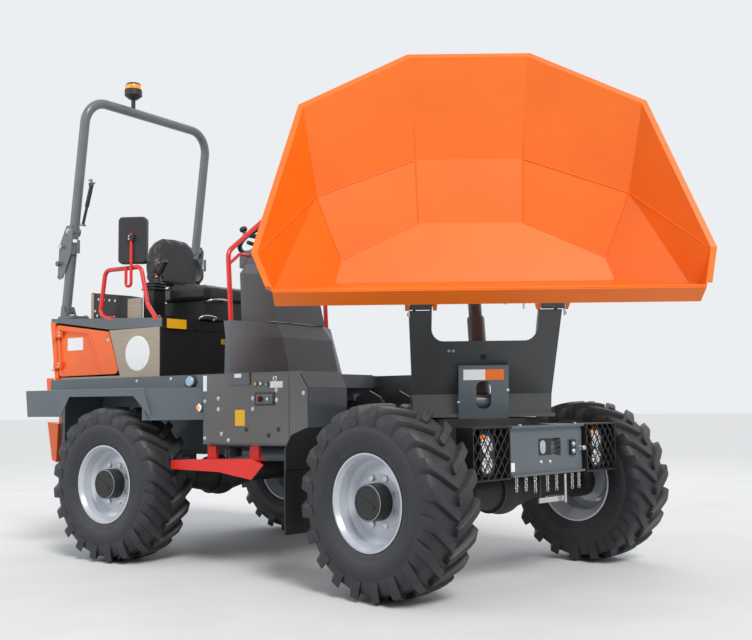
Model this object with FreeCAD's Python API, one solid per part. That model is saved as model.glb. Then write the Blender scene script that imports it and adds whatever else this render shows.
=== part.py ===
import FreeCAD, Part
import os
import math

os.makedirs("parts", exist_ok=True)

V = FreeCAD.Vector

# Stance of the machine: millimetres and degrees, pivot of the steering joint at x = 0, y = 0, ground at z = 0
STEER_REST = -10.5
SLEW_REST = -44.7
TIP_REST = 61.0
SHIFT_X = -82.0
SHIFT_Y = 149.0

# Wheels and axles
TYRE_R = 422.5
TYRE_HALF_W = 145.0
LUG_H = 26.5
CARCASS_R = TYRE_R - LUG_H
BEAD_R = 201.0
RIM_FLANGE_R = 212.0
RIM_HALF_W = 126.0
TRACK = 1544.0
REAR_AXLE_X = -1040.0
FRONT_AXLE_X = 1022.0
LUGS_PER_SIDE = 20
CARCASS_SIDES = 15
HUB_R = 78.0
SPINDLE_R = 40.0
WHEEL_GAP = 6.0
AXLE_Z = 422.5
LUG_PHASE = math.radians(3.0)

# Rear chassis
BODY_HALF_W = 700.0
PANEL_Y = BODY_HALF_W + 20.0
HOUSING_HALF_W = 640.0
RAIL_Y = HOUSING_HALF_W - 20.0
FENDER_Y = BODY_HALF_W + 217.0
DECK_Z = 1010.0
BAND_Z = 941.0
PANEL_BOTTOM_Z = 650.0
FRAME_Z = 562.8
SHEET = 5.0
SEAT = 0.3

# Steering pivot and its cylinder
PIVOT_PIN_R = 30.0
PIVOT_FIT = 0.05
HINGE_X = -1796.0
HINGE_Y = HOUSING_HALF_W + 10.0
HINGE_PIN_R = 5.0
HINGE_ZS = (1100.0, 1290.0)
PIVOT_LOW = (520.0, 552.0)
PIVOT_HIGH = (862.0, 894.0)
PIVOT_GAP = 6.0
STEER_CYL_REAR = V(-560.0, -400.0, 575.0)
STEER_CYL_FRONT = V(150.0, -250.0, 575.0)

# Slewing tower, in a frame with the slewing axis at x = 0
SLEW_X = 906.0
RING_R = 300.0
RING_Z = (735.0, 768.0)
SLEW_PIN_R = 120.0
TOWER_BASE_Z = 774.0
TIP_X = 470.0
TIP_Z = 1305.0
TIP_PIN_R = 20.0
TIP_TUBE_R = 38.0
TIP_CYL_BASE = V(178.0, 0.0, 846.0)
TIP_CYL_EYE = V(-840.0, 0.0, -440.0)
TIP_BARREL_R = 44.0
TIP_STAGE_R = 34.0
TIP_ROD_R = 24.0

# Load skip, in its own frame with the tipping axis at the origin and the floor level
SKIP_SHEET = 6.0


def box(x0, x1, y0, y1, z0, z1):
    return Part.makeBox(x1 - x0, y1 - y0, z1 - z0, V(x0, y0, z0))


def prism_y(points, y0, y1):
    wire = Part.makePolygon([V(x, y0, z) for x, z in points] + [V(points[0][0], y0, points[0][1])])
    return Part.Face(wire).extrude(V(0, y1 - y0, 0))


def prism_x(points, x0, x1):
    wire = Part.makePolygon([V(x0, y, z) for y, z in points] + [V(x0, points[0][0], points[0][1])])
    return Part.Face(wire).extrude(V(x1 - x0, 0, 0))


def prism_z(points, z0, z1):
    wire = Part.makePolygon([V(x, y, z0) for x, y in points] + [V(points[0][0], points[0][1], z0)])
    return Part.Face(wire).extrude(V(0, 0, z1 - z0))


def rounded_y(points, radius, y0, y1):
    """A prism along y whose corners are rounded in its outline."""
    raw = prism_y(points, y0, y1)
    return raw.makeFillet(radius, [e for e in raw.Edges if abs(e.Vertexes[0].Y - e.Vertexes[1].Y) > 1])


def rounded_x(y0, y1, z0, z1, radius, x0, x1):
    """A block along x whose outline is a rectangle with rounded corners."""
    raw = box(x0, x1, y0, y1, z0, z1)
    return raw.makeFillet(radius, [e for e in raw.Edges if abs(e.Vertexes[0].X - e.Vertexes[1].X) > 1])


def rod_between(a, b, r):
    return Part.makeCylinder(r, (b - a).Length, a, b - a)


def cyl_y(x, z, r, y0, y1):
    return Part.makeCylinder(r, y1 - y0, V(x, y0, z), V(0, 1, 0))


def cyl_z(x, y, r, z0, z1):
    return Part.makeCylinder(r, z1 - z0, V(x, y, z0), V(0, 0, 1))


def plate(points, t):
    """A flat plate whose given face is thickened by t along its normal."""
    pts = [V(*p) for p in points]
    normal = (pts[1] - pts[0]).cross(pts[2] - pts[1]).normalize()
    return Part.Face(Part.makePolygon(pts + [pts[0]])).extrude(normal * t)


def mirror_y(shape):
    return shape.mirror(V(0, 0, 0), V(0, 1, 0))


def both_sides(shape):
    return shape.fuse(mirror_y(shape))


def fuse(shapes):
    first = shapes[0]
    if len(shapes) == 1:
        return first
    return first.multiFuse(shapes[1:]).removeSplitter()


def bent_tube(points, r, bend):
    """A round tube along a polyline whose corners are rounded by the bend radius."""
    pts = [V(*p) for p in points]
    edges = []
    start = pts[0]
    for i in range(1, len(pts) - 1):
        before = (pts[i - 1] - pts[i]).normalize()
        after = (pts[i + 1] - pts[i]).normalize()
        half = before.getAngle(after) / 2
        cut = bend / math.tan(half)
        a = pts[i] + before * cut
        b = pts[i] + after * cut
        mid = pts[i] + (before + after).normalize() * (bend / math.sin(half) - bend)
        edges.append(Part.makeLine(start, a))
        edges.append(Part.Arc(a, mid, b).toShape())
        start = b
    edges.append(Part.makeLine(start, pts[-1]))
    wire = Part.Wire(edges)
    ring = Part.Wire(Part.makeCircle(r, pts[0], pts[1] - pts[0]))
    return wire.makePipeShell([ring], True, False)


def behind_plane(shape, p, n):
    """What is left of the shape behind the plane through p with outward normal n."""
    size = 8000.0
    block = Part.makeBox(size, size, size, V(-size / 2, -size / 2, 0))
    block.Placement = FreeCAD.Placement(p, FreeCAD.Rotation(V(0, 0, 1), n))
    return shape.cut(block)


def turned(shape, axis_point, axis, angle):
    out = shape.copy()
    out.rotate(axis_point, axis, angle)
    return out


def front_placed(shape):
    return turned(shape, V(0, 0, 0), V(0, 0, 1), STEER_REST)


def tower_placed(shape):
    out = turned(shape, V(0, 0, 0), V(0, 0, 1), SLEW_REST)
    out.translate(V(SLEW_X, 0, 0))
    return front_placed(out)


def skip_placed(shape):
    out = turned(shape, V(0, 0, 0), V(0, 1, 0), TIP_REST)
    out.translate(V(TIP_X, 0, TIP_Z))
    return tower_placed(out)


nodes = {}


# Wheels
def ring_point(y, r, angle):
    return V(r * math.cos(angle), y, r * math.sin(angle))


def carcass():
    bead = (BEAD_R - 1 + SEAT) / math.cos(math.pi / CARCASS_SIDES)
    wall = CARCASS_R - bead
    profile = [
        (-112, bead), (-TYRE_HALF_W + 1, bead + 0.42 * wall),
        (-TYRE_HALF_W + 2, bead + 0.76 * wall), (-100, CARCASS_R),
    ]
    profile = profile + [(-y, r) for y, r in reversed(profile)]
    faces = []
    step = 2 * math.pi / CARCASS_SIDES
    for i in range(CARCASS_SIDES):
        a0 = i * step
        a1 = a0 + step
        for j in range(len(profile)):
            y0, r0 = profile[j]
            y1, r1 = profile[(j + 1) % len(profile)]
            pts = [ring_point(y0, r0, a0), ring_point(y1, r1, a0), ring_point(y1, r1, a1), ring_point(y0, r0, a1)]
            faces.append(Part.Face(Part.makePolygon(pts + [pts[0]])))
    return Part.makeSolid(Part.makeShell(faces))


def hull_solid(a, b):
    """A solid between two four-sided sections, with each side split in two flat triangles."""
    faces = [Part.Face(Part.makePolygon([s[0], s[1], s[2], s[0]])) for s in (a, b)]
    faces += [Part.Face(Part.makePolygon([s[0], s[2], s[3], s[0]])) for s in (a, b)]
    for i in range(4):
        k = (i + 1) % 4
        faces.append(Part.Face(Part.makePolygon([a[i], a[k], b[k], a[i]])))
        faces.append(Part.Face(Part.makePolygon([a[i], b[k], b[i], a[i]])))
    solid = Part.makeSolid(Part.makeShell(faces))
    if solid.Volume < 0:
        solid.reverse()
    return solid


def lug(side, start_angle):
    inner_half = math.radians(3.0)
    outer_half = math.radians(3.6)
    lag = math.radians(15.0)
    sections = []
    for y, angle, half, low, high in (
        (side * -4.0, start_angle, inner_half, CARCASS_R - 12, TYRE_R),
        (side * 141.0, start_angle + lag, outer_half, CARCASS_R - 66, TYRE_R - 10),
    ):
        sections.append([
            ring_point(y, low, angle - half * 1.2),
            ring_point(y, high, angle - half),
            ring_point(y, high, angle + half),
            ring_point(y, low, angle + half * 1.2),
        ])
    return hull_solid(sections[0], sections[1])


def tyre():
    pitch = 2 * math.pi / LUGS_PER_SIDE
    lugs = []
    for i in range(LUGS_PER_SIDE):
        lugs.append(lug(1, i * pitch + LUG_PHASE))
        lugs.append(lug(-1, (i + 0.5) * pitch + LUG_PHASE))
    return carcass().multiFuse(lugs)


def revolved(profile):
    """A ring about the wheel's axis from a closed profile of axial and radial positions."""
    wire = Part.makePolygon([V(r, y, 0) for y, r in profile] + [V(profile[0][1], profile[0][0], 0)])
    return Part.Face(wire).revolve(V(0, 0, 0), V(0, 1, 0), 360)


def rim():
    """Right-hand rim and hub, with its outer face towards negative y."""
    barrel = revolved([
        (-RIM_HALF_W, RIM_FLANGE_R), (-112, BEAD_R - 1), (-60, BEAD_R - 12), (-40, 168), (60, 168), (80, BEAD_R - 12),
        (112, BEAD_R - 1), (RIM_HALF_W, RIM_FLANGE_R), (RIM_HALF_W, 204), (106, 190), (60, 158), (-36, 158),
        (-60, 180), (-106, 192), (-RIM_HALF_W, 204),
    ])
    dish = revolved([(-34, 162), (-22, 162), (-34, 120), (-34, 60), (-46, 60), (-46, 124)])
    hub = cyl_y(0, 0, HUB_R, -118, 46)
    flange = cyl_y(0, 0, 108, -34, -10)
    return fuse([barrel, dish, hub, flange]).cut(cyl_y(0, 0, SPINDLE_R + PIVOT_FIT, -80, 60))


wheel_spots = {
    "front_right": (FRONT_AXLE_X, -1, True),
    "front_left": (FRONT_AXLE_X, 1, True),
    "rear_right": (REAR_AXLE_X, -1, False),
    "rear_left": (REAR_AXLE_X, 1, False),
}
tyre_shape = tyre()
rim_shape = rim()
for name, (axle_x, side, on_front) in wheel_spots.items():
    for kind, shape in (("tyre", tyre_shape), ("rim", rim_shape)):
        piece = shape.copy()
        if side > 0:
            piece = mirror_y(piece)
        piece.translate(V(axle_x, side * TRACK / 2, AXLE_Z))
        if on_front:
            piece = front_placed(piece)
        nodes[kind + "_" + name] = piece


# Axles: a beam with a round end that reaches to each hub
def axle(x):
    inner = TRACK / 2 - 46 - WHEEL_GAP
    beam = cyl_y(x, AXLE_Z, 62, -inner + 60, inner - 60)
    ends = both_sides(cyl_y(x, AXLE_Z, 84, inner - 90, inner))
    spindles = both_sides(cyl_y(x, AXLE_Z, SPINDLE_R, inner - 10, TRACK / 2 + 70))
    cones = both_sides(Part.makeCone(104, 66, 190, V(x, 60, AXLE_Z), V(0, 1, 0)))
    centre = Part.makeSphere(122, V(x, 0, AXLE_Z))
    cover = Part.makeCylinder(88, 30, V(x - 132, 0, AXLE_Z), V(1, 0, 0))
    flange = cyl_y(x, AXLE_Z, 112, -86, -70)
    pads = both_sides(box(x - 60, x + 60, 250, 330, AXLE_Z, FRAME_Z - SEAT))
    return fuse([beam, ends, spindles, cones, centre, cover, flange, pads])


nodes["rear_axle"] = axle(REAR_AXLE_X)
nodes["front_axle"] = front_placed(axle(FRONT_AXLE_X))

# Rear frame
backbone = box(-1740, -620, -330, 330, 563, 700).fuse(box(-620, -150, -200, 200, 563, 700))
deck = box(-1765, -100, -BODY_HALF_W, BODY_HALF_W, BAND_Z, DECK_Z)
mid_profile = [(-468, 640), (231, 640), (250, 700), (250, 930), (205, DECK_Z), (-468, DECK_Z)]
side_tank = prism_y(mid_profile, 400, PANEL_Y - 6)
bulkhead = box(-560, -150, -405, 405, 640, DECK_Z)
rear_wall = box(-1765, -1730, -BODY_HALF_W + 80, BODY_HALF_W - 80, 563, BAND_Z + 20)
risers = both_sides(box(-1740, -560, 290, 330, 690, BAND_Z + 10))
nose = prism_z([(-160, -250), (-60, -250), (2, -190), (2, 190), (-60, 250), (-160, 250)], 935, DECK_Z)
yoke_high = prism_z([(-160, -200), (-20, -80), (60, -80), (60, 80), (-20, 80), (-160, 200)], *PIVOT_HIGH)
yoke_low = prism_z([(-160, -200), (-20, -80), (60, -80), (60, 80), (-20, 80), (-160, 200)], *PIVOT_LOW)
yoke_web = box(-175, -150, -200, 200, PIVOT_LOW[0], PIVOT_HIGH[1])
pivot_pin = cyl_z(0, 0, PIVOT_PIN_R, PIVOT_LOW[0] - 10, PIVOT_HIGH[1] + 10)
steer_lug = box(-600, -520, -445, -355, 618, 645)
steer_post = cyl_z(STEER_CYL_REAR.x, STEER_CYL_REAR.y, 16, 545, 620)
axle_pads = both_sides(box(REAR_AXLE_X - 70, REAR_AXLE_X + 70, 240, 340, FRAME_Z, FRAME_Z + 12))
tow_plates = box(-1850, -1730, -60, 60, 600, 618).fuse(box(-1850, -1730, -60, 60, 660, 678))
tow_plates = tow_plates.cut(cyl_z(-1815, 0, 16.5, 590, 690))
nodes["rear_frame"] = fuse([
    backbone, deck, both_sides(side_tank), bulkhead, rear_wall, risers, nose, yoke_high, yoke_low, yoke_web,
    pivot_pin, steer_lug, steer_post, axle_pads, tow_plates,
])

# Service panels over the side tanks
panel_profile = [(-436, PANEL_BOTTOM_Z), (246, PANEL_BOTTOM_Z), (246, 924), (199, 996), (-436, 1004)]
nodes["side_panels"] = both_sides(prism_y(panel_profile, PANEL_Y - 6, PANEL_Y))

# Rear fenders
skirt = prism_y([
    (-1708, 942), (-711, 942), (-648, 783), (-788, 900), (-1317, 902), (-1393, 790), (-1690, 790),
], FENDER_Y - SHEET, FENDER_Y)
top = prism_z([(-1708, BODY_HALF_W + SEAT), (-1708, FENDER_Y), (-711, FENDER_Y), (-470, BODY_HALF_W + SEAT)], 937, 942)
front_cheek = prism_z([(-470, BODY_HALF_W + SEAT), (-711, FENDER_Y), (-717, FENDER_Y), (-478, BODY_HALF_W + SEAT)], 770, 942)
front_cheek = behind_plane(front_cheek, V(-648, FENDER_Y, 783), V(0.25, 0.62, -1))
rear_cheek = prism_y([(-1708, 942), (-1702, 942), (-1684, 790), (-1690, 790)], BODY_HALF_W + SEAT, FENDER_Y)
fender = fuse([skirt, top, front_cheek, rear_cheek])
long_edges = [e for e in fender.Edges if len(e.Vertexes) == 2 and min(v.Z for v in e.Vertexes) > 941
              and min(v.Y for v in e.Vertexes) > FENDER_Y - 1]
nodes["rear_fenders"] = both_sides(fender.makeFillet(4, long_edges))

# Engine, its housing and the deck above it
nodes["engine_block"] = box(-1690, -1050, -300, 300, DECK_Z + SEAT, 1240)
side_profile = [(-1750, DECK_Z + SEAT), (-880, DECK_Z + SEAT), (-880, 1292.7), (-1750, 1292.7)]
housing = prism_y(side_profile, -HOUSING_HALF_W, HOUSING_HALF_W)
hollow = prism_y([(-1746, DECK_Z), (-884, DECK_Z), (-884, 1288), (-1746, 1288)], -HOUSING_HALF_W + 4, HOUSING_HALF_W - 4)
hatch = prism_y([(-1760, 1400), (-1330, 1300), (-1311, 1296), (-1214, 1024), (-1760, 1024)], HOUSING_HALF_W - 30, HOUSING_HALF_W + 10)
front_sheet = box(-884, -880, -HOUSING_HALF_W + 6, HOUSING_HALF_W - 6, DECK_Z + SEAT, 1286)
nodes["engine_housing"] = housing.cut(hollow).cut(both_sides(hatch)).cut(box(-885, -879, -HOUSING_HALF_W - 60, HOUSING_HALF_W + 60, DECK_Z, 1400))
nodes["seat_box_front"] = front_sheet
deck_profile = [(-1848, 1372), (-1313, 1298), (-870, 1293), (-870, 1343), (-1848, 1392)]
nodes["top_deck"] = prism_y(deck_profile, -HOUSING_HALF_W, HOUSING_HALF_W)

# Hood behind the engine and its two side doors
hood_back = prism_y([(-1856, 1370), (-1850, 1370), (-1790, 960), (-1796, 960)], -HOUSING_HALF_W, HOUSING_HALF_W)
corner = prism_y([
    (-1856, 1370), (-1812, 1364), (-1773, 1030), (-1765 - SEAT, 1008), (-1765 - SEAT, 960), (-1796, 960),
], HOUSING_HALF_W - 40, HOUSING_HALF_W)
column = prism_y([(-1850, 1024), (-1772, 1024), (-1765 - SEAT, 1008), (-1765 - SEAT, 948), (-1790, 940), (-1842, 944)], HOUSING_HALF_W - 40, HOUSING_HALF_W + 32)
column = column.makeFillet(9, [e for e in column.Edges if min(v.Y for v in e.Vertexes) > HOUSING_HALF_W + 31])
hinge_pins = []
door_knuckles = []
for z in HINGE_ZS:
    hinge_pins.append(cyl_z(HINGE_X, HINGE_Y, HINGE_PIN_R, z - 26, z + 20))
    hinge_pins.append(box(HINGE_X - 20, HINGE_X + 8, HOUSING_HALF_W + 4, HINGE_Y + 8, z - 32, z - 24))
    hinge_pins.append(box(HINGE_X - 20, HINGE_X - 8, HOUSING_HALF_W - 1, HOUSING_HALF_W + 5, z - 32, z - 24))
    door_knuckles.append(cyl_z(HINGE_X, HINGE_Y, 9, z - 18, z + 20))
    door_knuckles.append(box(HINGE_X, HINGE_X + 60, HOUSING_HALF_W + 1, HINGE_Y + 3, z - 18, z + 20))
    door_knuckles.append(box(HINGE_X + 28, HINGE_X + 60, HOUSING_HALF_W - 2, HOUSING_HALF_W + 2, z - 18, z + 20))
nodes["rear_hood"] = fuse([hood_back, both_sides(corner), both_sides(column)] + [both_sides(h) for h in hinge_pins])
door_profile = [(-1803, 1352), (-1317, 1286), (-1224, 1036), (-1765, 1032)]

door = rounded_y(door_profile, 26, HOUSING_HALF_W - 20, HOUSING_HALF_W)
pocket_profile = [(-1772, 1322), (-1500, 1290), (-1406, 1060), (-1742, 1052)]
ridge_profile = [(-1772, 1334), (-1478, 1297), (-1384, 1054), (-1400, 1052), (-1492, 1282), (-1772, 1318)]
door = door.cut(rounded_y(pocket_profile, 20, HOUSING_HALF_W - 9, HOUSING_HALF_W + 1))
ridge = prism_y(ridge_profile, HOUSING_HALF_W - 12, HOUSING_HALF_W + 3)
lock_cup = cyl_y(-1326, 1236, 15, HOUSING_HALF_W - 6, HOUSING_HALF_W + 1)
door = door.fuse(ridge).cut(lock_cup)
door = fuse([door] + door_knuckles)
for z in HINGE_ZS:
    door = door.cut(cyl_z(HINGE_X, HINGE_Y, HINGE_PIN_R + PIVOT_FIT, z - 40, z + 40))
nodes["hood_door_left"] = door
nodes["hood_door_right"] = mirror_y(door)

# Orange corner guards with the tail lamps behind them
guard = prism_y([(-1871, 755), (-1768, 745), (-1783, 512), (-1822, 524)], HOUSING_HALF_W - 70, HOUSING_HALF_W)
guard_arm = box(-1800, -1765 - SEAT, HOUSING_HALF_W - 60, HOUSING_HALF_W - 30, 700, 934)
nodes["corner_guards"] = both_sides(fuse([guard, guard_arm]))

# Driver's seat and its levers
seat_base = fuse([
    box(-1390, -985, -190, 190, 1369.7, 1410),
    box(-1370, -1000, -170, 170, 1410, 1490),
    box(-1430, -1380, -60, 60, 1400, 1630),
    box(-1345, -1255, -345, -250, 1367.5, 1600),
    box(-1345, -1255, -260, -180, 1370, 1400),
])
lever = bent_tube([(-1285, -298, 1590), (-1270, -298, 1640), (-1232, -298, 1700)], 10, 30)
bellows = fuse([Part.makeCone(46 - 4 * i, 38 - 4 * i, 16, V(-1290, -298, 1600 + 15 * i)) for i in range(4)])
grip = rod_between(V(-1252, -298, 1668), V(-1214, -298, 1722), 19)
cushion = prism_z([
    (-1369, -190), (-1250, -238), (-1010, -240), (-955, -190), (-955, 190), (-1010, 240), (-1250, 238), (-1369, 190),
], 1490 + SEAT, 1592)
cushion = cushion.makeFillet(28, [e for e in cushion.Edges if min(v.Z for v in e.Vertexes) > 1591])
nodes["seat_cushion"] = cushion
back_outline = [
    (-205, 1590), (-236, 1650), (-236, 1765), (-196, 1872), (-110, 1945), (110, 1945), (196, 1872), (236, 1765),
    (236, 1650), (205, 1590),
]
back = prism_x(back_outline, -1468, -1385)
back = back.makeFillet(20, [e for e in back.Edges if abs(e.Vertexes[0].X - e.Vertexes[1].X) < 1])
bolster = prism_x([(140, 1640), (214, 1655), (214, 1765), (178, 1858), (140, 1790)], -1400, -1345)
bolster = bolster.makeFillet(14, [e for e in bolster.Edges if min(v.X for v in e.Vertexes) > -1346])
backrest = fuse([back, both_sides(bolster)])
nodes["seat_backrest"] = turned(backrest, V(-1425, 0, 1590), V(0, 1, 0), -6)
seat_base = fuse([seat_base, lever, bellows, grip])
nodes["seat_base"] = seat_base.cut(nodes["seat_backrest"]).cut(nodes["seat_cushion"])
side_plate = prism_y([(-1593, 1545), (-1250, 1502), (-1143, 1484), (-1143, 1340), (-1593, 1340)], 534, 540)
above_deck = prism_y([(x, z + SEAT) for x, z in deck_profile], -HOUSING_HALF_W, HOUSING_HALF_W)
nodes["seat_side_plates"] = both_sides(side_plate).cut(above_deck)

# Driver's console
def console_section(row, inset):
    z, x_rear, x_corner, half_w, x_front, front_half_w = row
    rear = x_rear - 30 if inset else x_rear
    w = half_w - inset
    f = x_front - inset
    half = [(rear, w), (x_corner, w), (f, front_half_w)]
    points = [(x, -y) for x, y in half] + [(x, y) for x, y in reversed(half)]
    return Part.makePolygon([V(x, y, z) for x, y in points] + [V(points[0][0], points[0][1], z)])


def console_shell(rows, wall, low_z, high_z):
    """A moulded shell in steps, open towards the driver."""
    outer = Part.makeLoft([console_section(row, 0) for row in rows], True, True)
    inner_rows = [(low_z, *rows[0][1:])] + rows[1:-1] + [(high_z, *rows[-1][1:])]
    inner = Part.makeLoft([console_section(row, wall) for row in inner_rows], True, True)
    return outer.cut(inner)


CONSOLE_TOP = 1318.0
COVER_ROWS = [
    # z, rear edge x, corner x, half width at the corner, front x, half width at the front
    (DECK_Z + SEAT, -500, -460, 520, -272, 230),
    (1225, -530, -496, 480, -325, 227),
    (CONSOLE_TOP, -560, -512, 462, -390, 215),
]
DASH_ROWS = [
    (CONSOLE_TOP + SEAT, -530, -503, 345, -380, 232),
    (1596, -545, -515, 345, -428, 205),
    (1654, -545, -522, 292, -440, 186),
]
nodes["console_cover"] = console_shell(COVER_ROWS, 6, DECK_Z - 1, CONSOLE_TOP - 6)
POD_TOP = 1748.0
POD_HALF_W = 275.0
pod = prism_x([
    (-POD_HALF_W, 1640), (-POD_HALF_W, 1716), (-238, POD_TOP), (238, POD_TOP), (POD_HALF_W, 1716), (POD_HALF_W, 1640),
], -612, -505)
pod = pod.makeFillet(16, [e for e in pod.Edges if min(v.Z for v in e.Vertexes) > 1715])
dash = console_shell(DASH_ROWS, 6, CONSOLE_TOP - 1, 1648)
nodes["console_dash"] = dash.fuse(pod)

# Steering wheel on its column
WHEEL_TILT = math.radians(25.0)
wheel_centre = V(-630, 0, 1850)
wheel_axis = V(-math.sin(WHEEL_TILT), 0, math.cos(WHEEL_TILT))
wheel_ring = Part.makeTorus(180, 14, wheel_centre, wheel_axis)
column = fuse([rod_between(V(-572, 0, 1765), wheel_centre, 22), cyl_z(-572, 0, 32, POD_TOP + SEAT, 1775)])
spoke_bar = box(-172, 172, -16, 16, -6, 6).fuse(box(-16, 16, -172, 172, -6, 6))
hub_cap = cyl_z(0, 0, 44, -12, 16)
spokes = fuse([spoke_bar, hub_cap])
spokes.Placement = FreeCAD.Placement(wheel_centre, FreeCAD.Rotation(V(0, 0, 1), wheel_axis))
nodes["steering_wheel"] = fuse([wheel_ring, column, spokes])

# Red grab rails
RAIL_FEET = ((-1310, 1352), (-928, 1334))
side_rail = bent_tube([
    (-1310, RAIL_Y, 1352), (-1416, RAIL_Y, 1392), (-1372, RAIL_Y, 1656), (-1064, RAIL_Y, 1652), (-1003, RAIL_Y, 1425),
    (-928, RAIL_Y, 1334),
], 13, 45)
rail_feet = [cyl_z(x, RAIL_Y, 24, z, z + 22) for x, z in RAIL_FEET]
ARM_X = -1128.0
ARM_Y = RAIL_Y + 18.0
ARM_R = 9.0
mirror_arm = bent_tube([
    (ARM_X - 44, ARM_Y, 1662), (ARM_X - 44, ARM_Y, 1543), (ARM_X, ARM_Y, 1543), (ARM_X, ARM_Y, 1852),
], ARM_R, 20)
nodes["side_rails"] = both_sides(fuse([side_rail, mirror_arm] + rail_feet)).cut(above_deck)
rail_foot_z = CONSOLE_TOP - 6
dash_rail = bent_tube([
    (-527, -438, rail_foot_z), (-546, -441, 1712), (-532, -120, 1956), (-532, 120, 1956), (-546, 441, 1712),
    (-527, 438, rail_foot_z),
], 14, 70)
branch = bent_tube([(-541, -440, 1640), (-532, -360, 1706), (-540, -POD_HALF_W + 8, 1706)], 9, 22)
grown_pod = box(-620, -500, -POD_HALF_W - SEAT, POD_HALF_W + SEAT, 1640, 1770)
grown_top = box(-620, -400, -520, 520, CONSOLE_TOP - 40, CONSOLE_TOP + SEAT)
nodes["dash_rail"] = fuse([dash_rail, both_sides(branch)]).cut(grown_pod).cut(grown_top)

# Mirrors clamped on the arms of the side rails
MIRROR_TURN = math.radians(30.0)
reach = 28.0 + ARM_R + SEAT
head = box(-84, 84, -28, 28, -138, 138)
head = head.makeFillet(24, [e for e in head.Edges if abs(e.Vertexes[0].Y - e.Vertexes[1].Y) > 1])
head = head.makeFillet(10, [e for e in head.Edges if min(v.Y for v in e.Vertexes) > 27 or max(v.Y for v in e.Vertexes) < -27])
head.Placement = FreeCAD.Placement(
    V(ARM_X - reach * math.sin(MIRROR_TURN), ARM_Y - reach * math.cos(MIRROR_TURN), 1815),
    FreeCAD.Rotation(V(0, 0, 1), -math.degrees(MIRROR_TURN)))
clamp = cyl_z(ARM_X, ARM_Y, 20, 1810, 1840).cut(cyl_z(ARM_X, ARM_Y, ARM_R + PIVOT_FIT, 1800, 1900))
nodes["mirrors"] = both_sides(head.fuse(clamp))

# Side steps, with their rear end just ahead of the rear tyre
STEP_BACK = REAR_AXLE_X + TYRE_R - 2.5
step_side = prism_y([(STEP_BACK, 558), (-53, 576), (26, 548), (-53, 472), (-278, 505), (STEP_BACK, 511)], 794, 800)
tread = prism_y([(STEP_BACK, 552), (-53, 570), (-53, 564), (STEP_BACK, 546)], 670, 796)
step_arm = fuse([box(-460, -400, 670, 690, 546, 640 - SEAT), box(-160, -100, 670, 690, 546, 640 - SEAT)])
nodes["side_steps"] = both_sides(fuse([step_side, tread, step_arm]))

# Fold-down roll bar
POST_Y = 532.0
POST_R = 30.0
LEAN = math.tan(math.radians(7.5))
FOLD_Z = 1945.0


def post_x(z):
    return -1851 + (z - 1395) * LEAN


FOLD_X = post_x(FOLD_Z)
low_post = rod_between(V(post_x(1400), POST_Y, 1400), V(post_x(1880), POST_Y, 1880), POST_R)
foot = box(-1848, -1700, POST_Y - 60, POST_Y + 60, 1392 + SEAT, 1408)
ear = prism_y([
    (-1878, 1668), (-1866, 1645), (-1834, 1652), (FOLD_X + 25, 1800), (FOLD_X + 40, FOLD_Z), (FOLD_X + 20, FOLD_Z + 35),
    (FOLD_X - 20, FOLD_Z + 35), (FOLD_X - 40, FOLD_Z), (-1866, 1858),
], POST_Y + POST_R + 6, POST_Y + POST_R + 14)
foot_rib = prism_y([(-1848, 1400), (-1790, 1400), (-1822, 1475), (-1838, 1475)], POST_Y - 44, POST_Y - 36)
foot_rib = foot_rib.fuse(prism_y([(-1848, 1400), (-1790, 1400), (-1822, 1475), (-1838, 1475)], POST_Y + 36, POST_Y + 44))
foot_rib = foot_rib.fuse(box(-1840, -1820, POST_Y - 44, POST_Y + 44, 1440, 1470))
ear_tie = box(FOLD_X - 40, FOLD_X + 20, POST_Y, POST_Y + POST_R + 14, 1800, 1850)
fold_pin = cyl_y(FOLD_X, FOLD_Z, 12, POST_Y - 40, POST_Y + POST_R + 14)
base_side = fuse([low_post, foot, foot_rib, ear, ear_tie, fold_pin])
nodes["roll_bar_base"] = both_sides(base_side)
TOP_Z = 2782.0
hoop = bent_tube([
    (post_x(1900), -POST_Y, 1900), (post_x(TOP_Z), -POST_Y, TOP_Z), (post_x(TOP_Z), POST_Y, TOP_Z),
    (post_x(1900), POST_Y, 1900),
], POST_R, 150)
bushes = both_sides(cyl_y(FOLD_X, FOLD_Z, POST_R, POST_Y - 30, POST_Y + 32))
fold_bore = cyl_y(FOLD_X, FOLD_Z, 12 + PIVOT_FIT, -POST_Y - 60, POST_Y + 60)
nodes["roll_bar_hoop"] = fuse([hoop, bushes]).cut(fold_bore)
beacon_x = post_x(TOP_Z)
BEACON_Y = -155.0
dome = cyl_z(beacon_x, BEACON_Y, 54, 2936, 2980)
dome = dome.makeFillet(20, [e for e in dome.Edges if e.CenterOfMass.z > 2979])
nodes["beacon"] = fuse([
    cyl_z(beacon_x, BEACON_Y, 14, TOP_Z + POST_R + SEAT, 2880),
    Part.makeCone(30, 55, 22, V(beacon_x, BEACON_Y, 2874)),
    cyl_z(beacon_x, BEACON_Y, 57, 2896, 2936),
    dome,
])

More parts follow.
